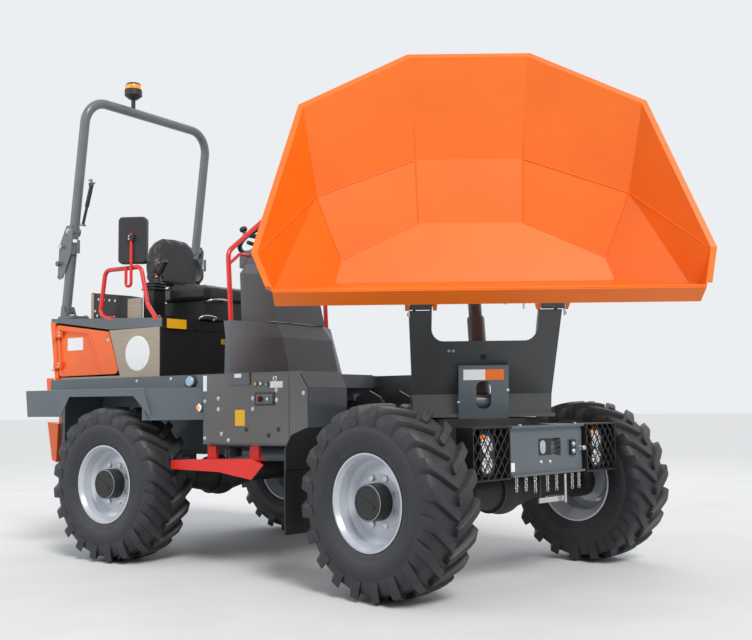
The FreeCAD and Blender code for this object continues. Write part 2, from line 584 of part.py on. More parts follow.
# Front frame
LAMP_OUT_Y = TRACK / 2 - TYRE_HALF_W - 67
LAMP_IN_Y = LAMP_OUT_Y - 260
LAMP_ARM = 20.0
FRONT_END_HALF_W = LAMP_IN_Y - LAMP_ARM
neck = box(70, 600, -110, 110, 580, RING_Z[0]).fuse(box(70, 440, -110, 110, RING_Z[0], 834))
knuckle = cyl_z(0, 0, 75, PIVOT_LOW[1] + PIVOT_GAP, PIVOT_HIGH[0] - PIVOT_GAP)
knuckle_tie = box(0, 90, -75, 75, 580, 834)
main = box(560, 1230, -330, 330, 563, RING_Z[0]).fuse(box(1230, 1290 - SEAT, -FRONT_END_HALF_W, FRONT_END_HALF_W, 563, RING_Z[0]))
side_plate = prism_y([(440, 735), (150, 735), (150, 880), (250, 915), (330, 880), (440, 745)], 108, 122)
steer_ear = box(90, 200, -300, -100, 607, 637)
front_pads = both_sides(box(FRONT_AXLE_X - 70, FRONT_AXLE_X + 70, 240, 340, FRAME_Z, FRAME_Z + 12))
front_frame = fuse([neck, knuckle, knuckle_tie, main, both_sides(side_plate), steer_ear, front_pads])
front_frame = front_frame.cut(cyl_z(0, 0, PIVOT_PIN_R + PIVOT_FIT, 400, 1100))
nodes["front_frame"] = front_placed(front_frame)

slew_ring = cyl_z(SLEW_X, 0, RING_R, RING_Z[0] + SEAT, RING_Z[1]).fuse(cyl_z(SLEW_X, 0, SLEW_PIN_R, RING_Z[1], 788))
nodes["slew_ring"] = front_placed(slew_ring)

BUMPER_HALF_W = LAMP_IN_Y - 15
LAMP_Z = (500.0, 735.0)
LAMP_X = (1240.0, 1336.0)
GRILLE_ANGLE = 55.0
GRILLE_STEP = 46.0
bumper = box(1290, 1318, -BUMPER_HALF_W, BUMPER_HALF_W, 506, 735)
for z in (506, 725):
    bumper = bumper.fuse(box(1290, LAMP_X[1], -BUMPER_HALF_W, BUMPER_HALF_W, z, z + 10))
bumper = bumper.cut(rounded_x(20, 110, 596, 672, 14, 1300, 1337))
nodes["front_bumper"] = front_placed(bumper.removeSplitter())


def lamp_unit():
    """A guard box with a grille of crossed bars over an upright lens."""
    wall = 6
    room = box(LAMP_X[0] + wall, LAMP_X[1] + 1, LAMP_IN_Y + wall, LAMP_OUT_Y - wall, LAMP_Z[0] + wall, LAMP_Z[1] - wall)
    unit = box(LAMP_X[0], LAMP_X[1], LAMP_IN_Y, LAMP_OUT_Y, *LAMP_Z).cut(room)
    mid_y = (LAMP_IN_Y + LAMP_OUT_Y) / 2
    mid_z = (LAMP_Z[0] + LAMP_Z[1]) / 2
    lens = rounded_x(mid_y - 44, mid_y + 44, mid_z - 104, mid_z + 104, 43, LAMP_X[0] + 2, LAMP_X[1] - 30)
    pieces = [unit, lens, box(LAMP_X[0], 1288, FRONT_END_HALF_W + SEAT, LAMP_IN_Y + 2, 600, 660)]
    window = box(LAMP_X[0], LAMP_X[1], LAMP_IN_Y + 2, LAMP_OUT_Y - 2, LAMP_Z[0] + 2, LAMP_Z[1] - 2)
    for layer, sign in ((0, 1), (1, -1)):
        x0 = LAMP_X[1] - 12 + 6 * layer
        for i in range(-4, 5):
            bar = box(x0, x0 + 4, mid_y - 300, mid_y + 300, mid_z - 2.5, mid_z + 2.5)
            bar = turned(bar, V(0, mid_y, mid_z), V(1, 0, 0), sign * GRILLE_ANGLE)
            bar.translate(V(0, i * GRILLE_STEP, 0))
            pieces.append(bar.common(window))
    return fuse(pieces)


nodes["headlamps"] = front_placed(both_sides(lamp_unit()))

guard_face = prism_x([(600, 540), (883, 540), (883, 648), (848, 701), (757, 732), (600, 738)], 466, 472)
guard_rib = box(472, 700, 600, 606, 640, 738)
guard_beam = box(640, 700, 330, 606, 660, 720)
flap = box(458, 466, 610, 883, 240, 640)
nodes["front_mudguards"] = front_placed(both_sides(fuse([guard_face, guard_rib, guard_beam, flap])))

# Steering cylinder, aimed along its line in the rest pose
front_eye = turned(Part.Vertex(STEER_CYL_FRONT), V(0, 0, 0), V(0, 0, 1), STEER_REST).Point
steer_dir = (front_eye - STEER_CYL_REAR).normalize()
steer_len = (front_eye - STEER_CYL_REAR).Length


def eye(at, axis, r_out, r_in, width):
    outer = Part.makeCylinder(r_out, width, at - axis * (width / 2), axis)
    return outer, Part.makeCylinder(r_in, width + 20, at - axis * (width / 2 + 10), axis)


up = V(0, 0, 1)
outer, bore = eye(STEER_CYL_REAR, up, 34, 16 + PIVOT_FIT, 44)
barrel = rod_between(STEER_CYL_REAR + steer_dir * 30, STEER_CYL_REAR + steer_dir * 470, 38)
barrel_bore = rod_between(STEER_CYL_REAR + steer_dir * 60, STEER_CYL_REAR + steer_dir * 480, 20 + PIVOT_FIT)
nodes["steer_cylinder_barrel"] = outer.fuse(barrel).cut(bore).cut(barrel_bore)
outer, bore = eye(front_eye, up, 34, 16, 44)
rod = rod_between(STEER_CYL_REAR + steer_dir * 200, front_eye - steer_dir * 31, 20)
rod_pin = Part.makeCylinder(16, 48, front_eye - up * 22, up)
nodes["steer_cylinder_rod"] = fuse([outer.fuse(rod).cut(bore), rod_pin])

# Slewing tower
base = prism_z([
    (-330, -200), (-200, -330), (232, -344), (232, 344), (-200, 330), (-330, 200),
], TOWER_BASE_Z, TOWER_BASE_Z + 16)
LEAN_TOP = V(418, 0, 1265)
LEAN_LOW = V(190, 0, 884)
face_profile = [(190, 780), (190, 884), (418, 1265), (406, 1270), (178, 888), (178, 780)]
face = prism_y(face_profile, -356, 356)
edge_cut = prism_x([(356, 1300), (331, 790), (331, 700), (500, 700), (500, 1300)], 100, 500)
face = face.cut(edge_cut).cut(mirror_y(edge_cut))
window = rounded_x(-247, 247, 1131, 1400, 58, 100, 500)
cyl_slot = box(100, 330, -80, 80, 792, 1015)
face = face.cut(window).cut(cyl_slot)
cheek_profile = [(-200, 780), (178, 780), (178, 888), (406, 1270), (470, 1290), (430, 1330), (362, 1245), (78, 890), (-200, 840)]
cheek = prism_y(cheek_profile, 322, 334)
inner_cheek = prism_y([(178, 888), (406, 1270), (430, 1320), (362, 1245), (150, 960)], 247, 255)
tube = cyl_y(TIP_X, TIP_Z, TIP_TUBE_R, 250, 352)
cyl_ears = both_sides(prism_y([(120, 785), (230, 785), (215, 880), (178, 895), (140, 880)], 62, 78))
cyl_pin = cyl_y(TIP_CYL_BASE.x, TIP_CYL_BASE.z, 18, -78, 78)
tower = fuse([base, face, both_sides(cheek), both_sides(inner_cheek), both_sides(tube), cyl_ears, cyl_pin])
tower = tower.cut(cyl_y(TIP_X, TIP_Z, TIP_PIN_R + PIVOT_FIT, -400, 400))
tower = tower.cut(cyl_z(0, 0, SLEW_PIN_R + PIVOT_FIT, 700, 800))
nodes["slew_tower"] = tower_placed(tower)

cover_profile = [(190 + SEAT, 792), (232 + SEAT, 792), (232 + SEAT, 768), (244, 768), (298, 1007), (302, 1018), (271, 1018), (190 + SEAT, 884)]
cover = prism_y(cover_profile, -118, 118)
cover_room = prism_y([(180, 790), (238, 790), (291, 1009), (180, 1009)], -112, 112)
cover = cover.cut(cover_room).cut(rounded_x(-35, 35, 812, 944, 30, 200, 400))
nodes["tower_cover"] = tower_placed(cover)

# Tipping cylinder with two stages
eye_in_tower = turned(Part.Vertex(TIP_CYL_EYE), V(0, 0, 0), V(0, 1, 0), TIP_REST).Point + V(TIP_X, 0, TIP_Z)
tip_dir = (eye_in_tower - TIP_CYL_BASE).normalize()
tip_len = (eye_in_tower - TIP_CYL_BASE).Length
side_axis = V(0, 1, 0)
outer, bore = eye(TIP_CYL_BASE, side_axis, 42, 18 + PIVOT_FIT, 110)
barrel = rod_between(TIP_CYL_BASE + tip_dir * 30, TIP_CYL_BASE + tip_dir * 470, TIP_BARREL_R)
barrel_bore = rod_between(TIP_CYL_BASE + tip_dir * 60, TIP_CYL_BASE + tip_dir * 480, TIP_STAGE_R + PIVOT_FIT)
nodes["tip_cylinder_barrel"] = tower_placed(outer.fuse(barrel).cut(bore).cut(barrel_bore))
stage = rod_between(TIP_CYL_BASE + tip_dir * 340, TIP_CYL_BASE + tip_dir * 780, TIP_STAGE_R)
stage = stage.cut(rod_between(TIP_CYL_BASE + tip_dir * 370, TIP_CYL_BASE + tip_dir * 790, TIP_ROD_R + PIVOT_FIT))
nodes["tip_cylinder_stage"] = tower_placed(stage)
outer, bore = eye(eye_in_tower, side_axis, 38, 24, 84)
rod = rod_between(TIP_CYL_BASE + tip_dir * 650, eye_in_tower - tip_dir * 30, TIP_ROD_R)
nodes["tip_cylinder_rod"] = tower_placed(outer.fuse(rod).cut(bore))

# Load skip: the space inside a set of flat walls, and the same walls moved out by the sheet
FLOOR_Z = -354.0
skip_corners = {
    "rear_rim": (-1464.2, 306.9, 144.5),
    "mid_rim": (-1127.3, 861.9, 125.0),
    "front_rim": (-238.3, 1052.9, 73.5),
    "lip": (29.4, 958.5, 139.5),
    "lip_low": (29.4, 958.5, 46.0),
    "floor_front": (-366.9, 710.9, FLOOR_Z),
    "floor_mid": (-509.6, 683.3, FLOOR_Z),
    "floor_rear": (-750.1, 276.9, FLOOR_Z),
    "crease_rear": (-1053.4, 285.5, -193.3),
    "crease_side": (-788.5, 805.5, -170.9),
}


def plane(names, inside=(-600, 0, 0)):
    a, b, c = [V(*skip_corners[n]) for n in names]
    n = (b - a).cross(c - a).normalize()
    if n.dot(V(*inside) - a) > 0:
        n = n * -1
    return a, n


def cross_plane(low, high):
    """A plane square to the middle of the skip through two of its corners, facing out and down."""
    a, b = V(*skip_corners[low]), V(*skip_corners[high])
    n = V(b.z - a.z, 0, a.x - b.x).normalize()
    if n.z > 0:
        n = n * -1
    return a, n


side_planes = [
    plane(("floor_rear", "floor_mid", "crease_side")),
    plane(("rear_rim", "mid_rim", "crease_side")),
    plane(("floor_mid", "floor_front", "crease_side")),
    plane(("mid_rim", "front_rim", "crease_side")),
    plane(("front_rim", "lip", "lip_low")),
]
centre_planes = [
    (V(0, 0, FLOOR_Z), V(0, 0, -1)),
    cross_plane("floor_front", "lip"),
    cross_plane("floor_rear", "crease_rear"),
    cross_plane("crease_rear", "rear_rim"),
]
LIP_X = skip_corners["lip"][0]
RIM_LINE = [(skip_corners[n][0], skip_corners[n][2]) for n in ("rear_rim", "front_rim", "lip")]


def above_rim(raise_rim):
    """The space above the rim, which falls towards the front and rises again to the lip."""
    line = [(-1800, RIM_LINE[0][1] + (1800 + RIM_LINE[0][0]) * 0.0579)] + RIM_LINE[1:]
    line = [(x, z + raise_rim) for x, z in line]
    line.append((LIP_X + 60, line[-1][1] + 15))
    return prism_y(line + [(LIP_X + 60, 600), (-1800, 600)], -1300, 1300)


def skip_body(offset, side_extra=0.0):
    body = box(-1700, LIP_X + offset, -1200, 1200, -500, 400)
    planes = [(p, n, 0.0) for p, n in centre_planes]
    for p, n in side_planes:
        extra = side_extra * abs(n.y)
        planes.append((p, n, extra))
        planes.append((V(p.x, -p.y, p.z), V(n.x, -n.y, n.z), extra))
    for p, n, extra in planes:
        body = behind_plane(body, p + n * (offset + extra), n)
    return body


room = skip_body(0)
walls = skip_body(SKIP_SHEET).cut(room).cut(above_rim(0))
rim_band = skip_body(SKIP_SHEET + 8, 14.0).cut(room).cut(above_rim(0)).common(above_rim(-8))
rim_band = rim_band.common(box(-1700, LIP_X - 30, -1300, 1300, 0, 400))
walls = walls.cut(box(LIP_X, LIP_X + 20, -1200, 1200, -500, 400))
lip_bar = prism_y([(LIP_X - 8, 46), (LIP_X + 18, 46), (LIP_X + 8, 139), (LIP_X - 12, 134)], -965, 965)
corner_p, corner_n = side_planes[-1]
for side in (1, -1):
    n = V(corner_n.x, side * corner_n.y, 0)
    lip_bar = behind_plane(lip_bar, V(corner_p.x, side * corner_p.y, 0) + n * SKIP_SHEET, n)
lugs = []
for y0 in (228.0, 356.0):
    lugs.append(prism_y([(-30, -30), (0, -42), (34, -24), (46, 60), (24, 90), (-20, 40)], y0, y0 + 16))
pins = cyl_y(0, 0, TIP_PIN_R, 230, 370)
eye_lug = prism_y([(-882, -440), (-798, -440), (-690, -357), (-742, -356), (-970, -241)], 50, 64)
eye_lug = eye_lug.fuse(cyl_y(TIP_CYL_EYE.x, TIP_CYL_EYE.z, 42, 50, 64))
eye_lug = eye_lug.cut(cyl_y(TIP_CYL_EYE.x, TIP_CYL_EYE.z, 18, 40, 80))
skip = fuse([walls, rim_band, lip_bar] + [both_sides(s) for s in lugs] + [both_sides(pins), both_sides(eye_lug)])
skip = skip.cut(room.common(box(-1700, LIP_X - 30, -1200, 1200, -500, 400)))
nodes["load_skip"] = skip_placed(skip)

for name, shape in nodes.items():
    shape.translate(V(SHIFT_X, SHIFT_Y, TYRE_R - AXLE_Z))
    shape.exportStep("parts/" + name + ".step")

whole = Part.makeCompound(list(nodes.values()))
bound = whole.BoundBox
print("bounds", bound.XMin, bound.XMax, bound.YMin, bound.YMax, bound.ZMin, bound.ZMax)
for name, shape in nodes.items():
    print(name, shape.isValid(), len(shape.Solids), len(shape.Faces), round(shape.Volume / 1e6, 2))
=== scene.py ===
import bpy
import bmesh
import math
from mathutils import Matrix, Vector


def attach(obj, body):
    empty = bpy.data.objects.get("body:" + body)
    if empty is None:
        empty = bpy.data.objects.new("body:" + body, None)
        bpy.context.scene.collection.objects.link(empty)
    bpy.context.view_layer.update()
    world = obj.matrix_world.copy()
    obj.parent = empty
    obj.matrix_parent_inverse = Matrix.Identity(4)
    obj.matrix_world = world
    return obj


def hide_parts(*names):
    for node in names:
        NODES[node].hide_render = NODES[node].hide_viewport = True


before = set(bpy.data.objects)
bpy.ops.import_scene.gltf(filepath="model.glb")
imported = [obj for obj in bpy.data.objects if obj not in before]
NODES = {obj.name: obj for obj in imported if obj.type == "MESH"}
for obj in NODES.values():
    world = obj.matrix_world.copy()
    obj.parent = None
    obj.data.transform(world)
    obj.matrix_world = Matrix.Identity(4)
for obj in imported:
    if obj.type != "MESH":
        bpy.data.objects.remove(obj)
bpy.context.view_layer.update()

# Frames of the machine, in metres: rear chassis, front chassis, tower and skip
REAR = Matrix.Translation((-0.082, 0.149, 0))
FRONT = REAR @ Matrix.Rotation(math.radians(-10.5), 4, "Z")
TOWER = FRONT @ Matrix.Translation((0.906, 0, 0)) @ Matrix.Rotation(math.radians(-44.7), 4, "Z")
SKIP = TOWER @ Matrix.Translation((0.470, 0, 1.305)) @ Matrix.Rotation(math.radians(61), 4, "Y")
MM = Matrix.Scale(0.001, 4)

# Camera
PICTURE_WIDTH = 752
FOCAL_PIXELS = 999.98
SENSOR_WIDTH = 36
yaw, pitch, roll = 2.17770501, 0.0839779394, -0.0117199829
forward = Vector((math.cos(yaw) * math.cos(pitch), math.sin(yaw) * math.cos(pitch), math.sin(pitch)))
right = Vector((math.sin(yaw), -math.cos(yaw), 0))
up = right.cross(forward)
cam_x = math.cos(roll) * right + math.sin(roll) * up
cam_y = -math.sin(roll) * right + math.cos(roll) * up
camera = bpy.data.objects.new("camera", bpy.data.cameras.new("camera"))
bpy.context.scene.collection.objects.link(camera)
camera.data.sensor_width = SENSOR_WIDTH
camera.data.lens = SENSOR_WIDTH * FOCAL_PIXELS / PICTURE_WIDTH
place = Matrix((cam_x, cam_y, -forward)).transposed().to_4x4()
place.translation = REAR @ Vector((3.336228, -4.572737, 0.841063))
camera.matrix_world = place
bpy.context.scene.camera = camera


# Materials
def noise(nt, vector, scale, detail):
    n = nt.nodes.new("ShaderNodeTexNoise")
    n.inputs["Scale"].default_value = scale
    n.inputs["Detail"].default_value = detail
    nt.links.new(vector, n.inputs["Vector"])
    return n.outputs["Fac"]


def times(nt, a, b, clamp=False):
    """A product of one socket with another socket or with a number."""
    mul = nt.nodes.new("ShaderNodeMath")
    mul.operation = "MULTIPLY"
    mul.use_clamp = clamp
    nt.links.new(a, mul.inputs[0])
    if isinstance(b, float):
        mul.inputs[1].default_value = b
    else:
        nt.links.new(b, mul.inputs[1])
    return mul.outputs[0]


def material(name, colour, rough, metallic=0.0, coat=0.0, grain=0.0, grain_scale=400, mottle=0.12,
             mottle_scale=6,
             stretch=(1, 1, 1), emission=None, dust=0.0):
    """Paint with a soft mottle, a fine grain and, where given, dust on what faces up."""
    m = bpy.data.materials.new(name)
    m.use_nodes = True
    nt = m.node_tree
    b = nt.nodes["Principled BSDF"]
    b.inputs["Metallic"].default_value = metallic
    b.inputs["Coat Weight"].default_value = coat
    b.inputs["Coat Roughness"].default_value = 0.08
    co = nt.nodes.new("ShaderNodeTexCoord")
    mp = nt.nodes.new("ShaderNodeMapping")
    mp.inputs["Scale"].default_value = stretch
    nt.links.new(co.outputs["Object"], mp.inputs["Vector"])
    spots = noise(nt, mp.outputs["Vector"], mottle_scale, 6)
    ramp = nt.nodes.new("ShaderNodeValToRGB")
    low = [c * (1 - mottle) for c in colour]
    high = [min(1.0, c * (1 + mottle)) for c in colour]
    ramp.color_ramp.elements[0].position = 0.3
    ramp.color_ramp.elements[1].position = 0.7
    ramp.color_ramp.elements[0].color = (*low, 1)
    ramp.color_ramp.elements[1].color = (*high, 1)
    nt.links.new(spots, ramp.inputs["Fac"])
    last = ramp.outputs["Color"]
    if dust:
        geo = nt.nodes.new("ShaderNodeNewGeometry")
        sep = nt.nodes.new("ShaderNodeSeparateXYZ")
        nt.links.new(geo.outputs["Normal"], sep.inputs["Vector"])
        patches = noise(nt, co.outputs["Object"], 30, 8)
        upward = times(nt, sep.outputs["Z"], patches, True)
        mix = nt.nodes.new("ShaderNodeMix")
        mix.data_type = "RGBA"
        mix.inputs[7].default_value = (0.32, 0.30, 0.27, 1)
        nt.links.new(times(nt, upward, dust), mix.inputs[0])
        nt.links.new(last, mix.inputs[6])
        last = mix.outputs[2]
    nt.links.new(last, b.inputs["Base Color"])
    rr = nt.nodes.new("ShaderNodeMapRange")
    rr.inputs["To Min"].default_value = max(0.03, rough - 0.06)
    rr.inputs["To Max"].default_value = min(1.0, rough + 0.08)
    nt.links.new(spots, rr.inputs["Value"])
    nt.links.new(rr.outputs["Result"], b.inputs["Roughness"])
    if grain:
        bump = nt.nodes.new("ShaderNodeBump")
        bump.inputs["Strength"].default_value = grain
        bump.inputs["Distance"].default_value = 0.001
        nt.links.new(noise(nt, mp.outputs["Vector"], grain_scale, 3), bump.inputs["Height"])
        nt.links.new(bump.outputs["Normal"], b.inputs["Normal"])
    if emission:
        b.inputs["Emission Color"].default_value = (*emission, 1)
        b.inputs["Emission Strength"].default_value = 0.6
    return m


ORANGE = material("orange paint", (0.87, 0.165, 0.004), 0.40, coat=0.08, grain=0.05, grain_scale=260,
                  mottle=0.05, mottle_scale=3)
HOOD_ORANGE = material("hood orange", (0.86, 0.128, 0.010), 0.28, coat=0.35, grain=0.03, grain_scale=200,
                       mottle=0.05)
GREY = material("grey paint", (0.088, 0.112, 0.128), 0.38, coat=0.25, grain=0.06, grain_scale=500,
                mottle=0.08, dust=0.25)
# The roll bar's colour is the grey paint made lighter: a painted highlight on its metal.
LIT_ROLL_GREY = material("roll bar grey with painted highlight", (0.135, 0.150, 0.152), 0.36, coat=0.25, grain=0.06, grain_scale=500,
                     mottle=0.08)
# The tower's colour is the grey paint made darker: painted shade on the tower's face, which the skip shades.
SHADED_TOWER_GREY = material("shaded tower grey", (0.052, 0.057, 0.060), 0.42, coat=0.2, grain=0.06, grain_scale=500,
                      mottle=0.08)
# The side panels' colour is the grey paint made warmer: the grey is their paint, the warm tint is a painted
# reflection of the ground.
GROUND_REFLECTION_PANEL = material("panel grey with painted ground reflection", (0.110, 0.103, 0.098), 0.36, coat=0.2, grain=0.06, grain_scale=500,
                 mottle=0.10, mottle_scale=2.5)
STEEL = material("bare sheet", (0.36, 0.30, 0.235), 0.34, metallic=0.35, grain=0.12, grain_scale=300,
                 mottle=0.08, stretch=(1, 1, 12))
BLACK = material("black paint", (0.009, 0.009, 0.010), 0.46, grain=0.08, grain_scale=500, mottle=0.2,
                 dust=0.08)
FRAME_BLACK = material("frame black", (0.018, 0.018, 0.019), 0.55, grain=0.15, grain_scale=300, mottle=0.25,
                       dust=0.2)
RED = material("red paint", (0.68, 0.016, 0.012), 0.30, coat=0.35, grain=0.03, grain_scale=400, mottle=0.06)
STEP_RED = material("step red", (0.70, 0.014, 0.006), 0.38, coat=0.15, grain=0.08, grain_scale=400,
                    mottle=0.08)
RIM = material("rim silver", (0.50, 0.53, 0.58), 0.32, metallic=0.15, coat=0.3, grain=0.03, mottle=0.05)
RUBBER = material("tyre rubber", (0.017, 0.019, 0.023), 0.52, grain=0.3, grain_scale=260, mottle=0.22,
                  mottle_scale=14, dust=0.25)
PLASTIC = material("black plastic", (0.020, 0.020, 0.022), 0.48, grain=0.25, grain_scale=900, mottle=0.12)
CONSOLE = material("console plastic", (0.105, 0.115, 0.125), 0.52, grain=0.3, grain_scale=700, mottle=0.08)
LEATHER = material("seat cover", (0.016, 0.017, 0.019), 0.42, grain=0.5, grain_scale=900, mottle=0.2)
SEAM = material("seat piping", (0.05, 0.055, 0.06), 0.5, grain=0.2, grain_scale=900)
CHROME = material("rod chrome", (0.75, 0.76, 0.78), 0.12, metallic=1.0, mottle=0.03)
ZINC = material("zinc", (0.55, 0.56, 0.56), 0.30, metallic=0.85, grain=0.1, mottle=0.12, mottle_scale=40)
CAST = material("cast metal", (0.05, 0.05, 0.052), 0.6, metallic=0.3, grain=0.4, grain_scale=120, mottle=0.2)
WHITE = material("white film", (0.80, 0.81, 0.82), 0.35, mottle=0.02, grain=0.02)
YELLOW = material("yellow film", (0.86, 0.46, 0.010), 0.38, mottle=0.04, grain=0.02)
AMBER = material("amber lens", (0.95, 0.24, 0.008), 0.12, coat=0.8, mottle=0.05, emission=(0.9, 0.2, 0.0))
CLEAR = material("lamp reflector", (0.86, 0.87, 0.88), 0.08, metallic=0.9, coat=1.0, mottle=0.1,
                 mottle_scale=60)
MIRROR = material("mirror glass", (0.85, 0.86, 0.87), 0.03, metallic=1.0, mottle=0.01)
BLUE = material("cap blue", (0.36, 0.50, 0.70), 0.3, coat=0.4, mottle=0.05)
GREEN = material("green lens", (0.03, 0.45, 0.10), 0.2, coat=0.6, mottle=0.05)
SCREEN = material("display glass", (0.015, 0.022, 0.030), 0.08, coat=1.0, mottle=0.1)
HOSE = material("orange hose", (0.85, 0.26, 0.010), 0.45, grain=0.2, grain_scale=300, mottle=0.1)

node_materials = {
    ORANGE: ["load_skip"],
    HOOD_ORANGE: ["corner_guards", "rear_hood", "hood_door_left", "hood_door_right"],
    GREY: ["rear_frame", "rear_fenders", "top_deck", "front_bumper", "tower_cover"],
    LIT_ROLL_GREY: ["roll_bar_base", "roll_bar_hoop"],
    SHADED_TOWER_GREY: ["slew_tower"],
    GROUND_REFLECTION_PANEL: ["side_panels"],
    STEEL: ["engine_housing"],
    FRAME_BLACK: ["front_frame", "front_axle", "rear_axle", "slew_ring"],
    BLACK: ["seat_base", "seat_box_front", "seat_side_plates", "front_mudguards", "headlamps"],
    RED: ["side_rails", "dash_rail"],
    STEP_RED: ["side_steps"],
    RIM: ["rim_front_right", "rim_front_left", "rim_rear_right", "rim_rear_left"],
    RUBBER: ["tyre_front_right", "tyre_front_left", "tyre_rear_right", "tyre_rear_left"],
    PLASTIC: ["steering_wheel", "mirrors", "beacon"],
    CONSOLE: ["console_cover", "console_dash"],
    LEATHER: ["seat_cushion", "seat_backrest"],
    GREY.copy(): ["steer_cylinder_barrel", "tip_cylinder_barrel", "tip_cylinder_stage"],
    CHROME: ["steer_cylinder_rod", "tip_cylinder_rod"],
    CAST: ["engine_block"],
}
for mat, names in node_materials.items():
    for n in names:
        NODES[n].data.materials.clear()
        NODES[n].data.materials.append(mat)


# Mesh helpers: every shape is built in millimetres in one of the frames
def finish_mesh(name, bm, body, place, mats, smooth=35):
    bmesh.ops.transform(bm, matrix=place @ MM, verts=bm.verts)
    bmesh.ops.recalc_face_normals(bm, faces=bm.faces)
    me = bpy.data.meshes.new(name)
    bm.to_mesh(me)
    bm.free()
    for m in mats if isinstance(mats, (list, tuple)) else [mats]:
        me.materials.append(m)
    ob = bpy.data.objects.new(name, me)
    bpy.context.scene.collection.objects.link(ob)
    me.shade_smooth()
    if smooth < 180:
        me.set_sharp_from_angle(angle=math.radians(smooth))
    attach(ob, body)
    return ob


def box(bm, x0, x1, y0, y1, z0, z1, at=None, mat=0, bevel=0.0):
    """A block between two corners, with its edges rounded off where a bevel is given."""
    earlier = set(bm.faces)
    vs = bmesh.ops.create_cube(bm, size=1)["verts"]
    middle = Matrix.Translation(((x0 + x1) / 2, (y0 + y1) / 2, (z0 + z1) / 2))
    size = Matrix.Diagonal((x1 - x0, y1 - y0, z1 - z0, 1))
    bmesh.ops.transform(bm, matrix=(at or Matrix.Identity(4)) @ middle @ size, verts=vs)
    if bevel:
        edges = list(dict.fromkeys(e for v in vs for e in v.link_edges))
        bmesh.ops.bevel(bm, geom=edges, offset=bevel, segments=2, affect="EDGES", profile=0.7)
    for f in set(bm.faces) - earlier:
        f.material_index = mat


def along(a, b):
    """A frame at a with its third axis towards b, and the distance."""
    a, b = Vector(a), Vector(b)
    return Matrix.Translation(a) @ (b - a).to_track_quat("Z", "Y").to_matrix().to_4x4(), (b - a).length


def lathe(bm, a, b, profile, seg=24, mat=0):
    """A round body on the line from a to b. The profile lists radius and distance along the line."""
    m, _ = along(a, b)
    turns = [2 * math.pi * i / seg for i in range(seg)]
    rings = []
    for r, h in profile:
        if r <= 0:
            rings.append([bm.verts.new(m @ Vector((0, 0, h)))])
        else:
            rings.append([bm.verts.new(m @ Vector((r * math.cos(t), r * math.sin(t), h))) for t in turns])
    for p, q in zip(rings, rings[1:]):
        for i in range(seg):
            k = (i + 1) % seg
            vs = [p[i % len(p)], p[k % len(p)], q[k % len(q)], q[i % len(q)]]
            vs = list(dict.fromkeys(vs))
            if len(vs) > 2:
                f = bm.faces.new(vs)
                f.material_index = mat
    for ring, flip in ((rings[0], True), (rings[-1], False)):
        if len(ring) > 2:
            f = bm.faces.new(list(reversed(ring)) if flip else ring)
            f.material_index = mat


def rod(bm, a, b, r, seg=20, mat=0):
    length = (Vector(b) - Vector(a)).length
    c = min(r * 0.15, 1.5)
    lathe(bm, a, b, [(r - c, 0), (r, c), (r, length - c), (r - c, length)], seg, mat)


def bolt(bm, at, normal, af=17, height=8, mat=0):
    """A hexagon head on its washer."""
    at, n = Vector(at), Vector(normal).normalized()
    lathe(bm, at, at + n, [(af * 0.78, 0), (af * 0.78, 1.6), (af * 0.55, 1.8)], 20, mat)
    r = af / 2 / math.cos(math.pi / 6)
    lathe(bm, at, at + n, [(r, 1.5), (r, height - 1), (r - 1.5, height)], 6, mat)


def tube(bm, points, r, seg=12, mat=0, closed=False):
    """A round wire along points, with a frame that doesn't twist."""
    pts = [Vector(p) for p in points]
    turns = [2 * math.pi * k / seg for k in range(seg)]
    rings = []
    normal = None
    for i, p in enumerate(pts):
        if closed:
            t = pts[(i + 1) % len(pts)] - pts[i - 1]
        else:
            t = pts[min(i + 1, len(pts) - 1)] - pts[max(i - 1, 0)]
        t.normalize()
        if normal is None:
            normal = t.orthogonal().normalized()
        normal = (normal - t * normal.dot(t)).normalized()
        other = t.cross(normal)
        rings.append([bm.verts.new(p + (normal * math.cos(w) + other * math.sin(w)) * r) for w in turns])
    pairs = list(zip(rings, rings[1:]))
    if closed:
        pairs.append((rings[-1], rings[0]))
    for p, q in pairs:
        for k in range(seg):
            f = bm.faces.new([p[k], p[(k + 1) % seg], q[(k + 1) % seg], q[k]])
            f.material_index = mat
    if not closed:
        for ring in (list(reversed(rings[0])), rings[-1]):
            f = bm.faces.new(ring)
            f.material_index = mat


def smooth_path(points, steps=8):
    """Points on a smooth curve through the given ones."""
    pts = [Vector(p) for p in points]
    ext = [pts[0] * 2 - pts[1]] + pts + [pts[-1] * 2 - pts[-2]]
    out = []
    for i in range(1, len(ext) - 2):
        p0, p1, p2, p3 = ext[i - 1:i + 3]
        for s in range(steps):
            t = s / steps
            out.append(0.5 * ((2 * p1) + (p2 - p0) * t + (2 * p0 - 5 * p1 + 4 * p2 - p3) * t * t
                              + (3 * p1 - p0 - 3 * p2 + p3) * t ** 3))
    out.append(pts[-1])
    return out


def plate(bm, points, thickness, mat=0):
    """A flat plate from a closed outline, thickened along its normal."""
    pts = [Vector(p) for p in points]
    n = (pts[1] - pts[0]).cross(pts[2] - pts[1]).normalized() * thickness
    low = [bm.verts.new(p) for p in pts]
    high = [bm.verts.new(p + n) for p in pts]
    faces = [bm.faces.new(list(reversed(low))), bm.faces.new(high)]
    for i in range(len(pts)):
        k = (i + 1) % len(pts)
        faces.append(bm.faces.new([low[i], low[k], high[k], high[i]]))
    for f in faces:
        f.material_index = mat


def rounded(cx, cy, w, h, r, seg=5):
    """Outline of a rectangle with rounded corners, as flat pairs."""
    out = []
    for qx, qy, a0 in ((1, 1, 0), (-1, 1, 90), (-1, -1, 180), (1, -1, 270)):
        for i in range(seg + 1):
            a = math.radians(a0 + 90 * i / seg)
            out.append((cx + qx * (w / 2 - r) + r * math.cos(a), cy + qy * (h / 2 - r) + r * math.sin(a)))
    return out


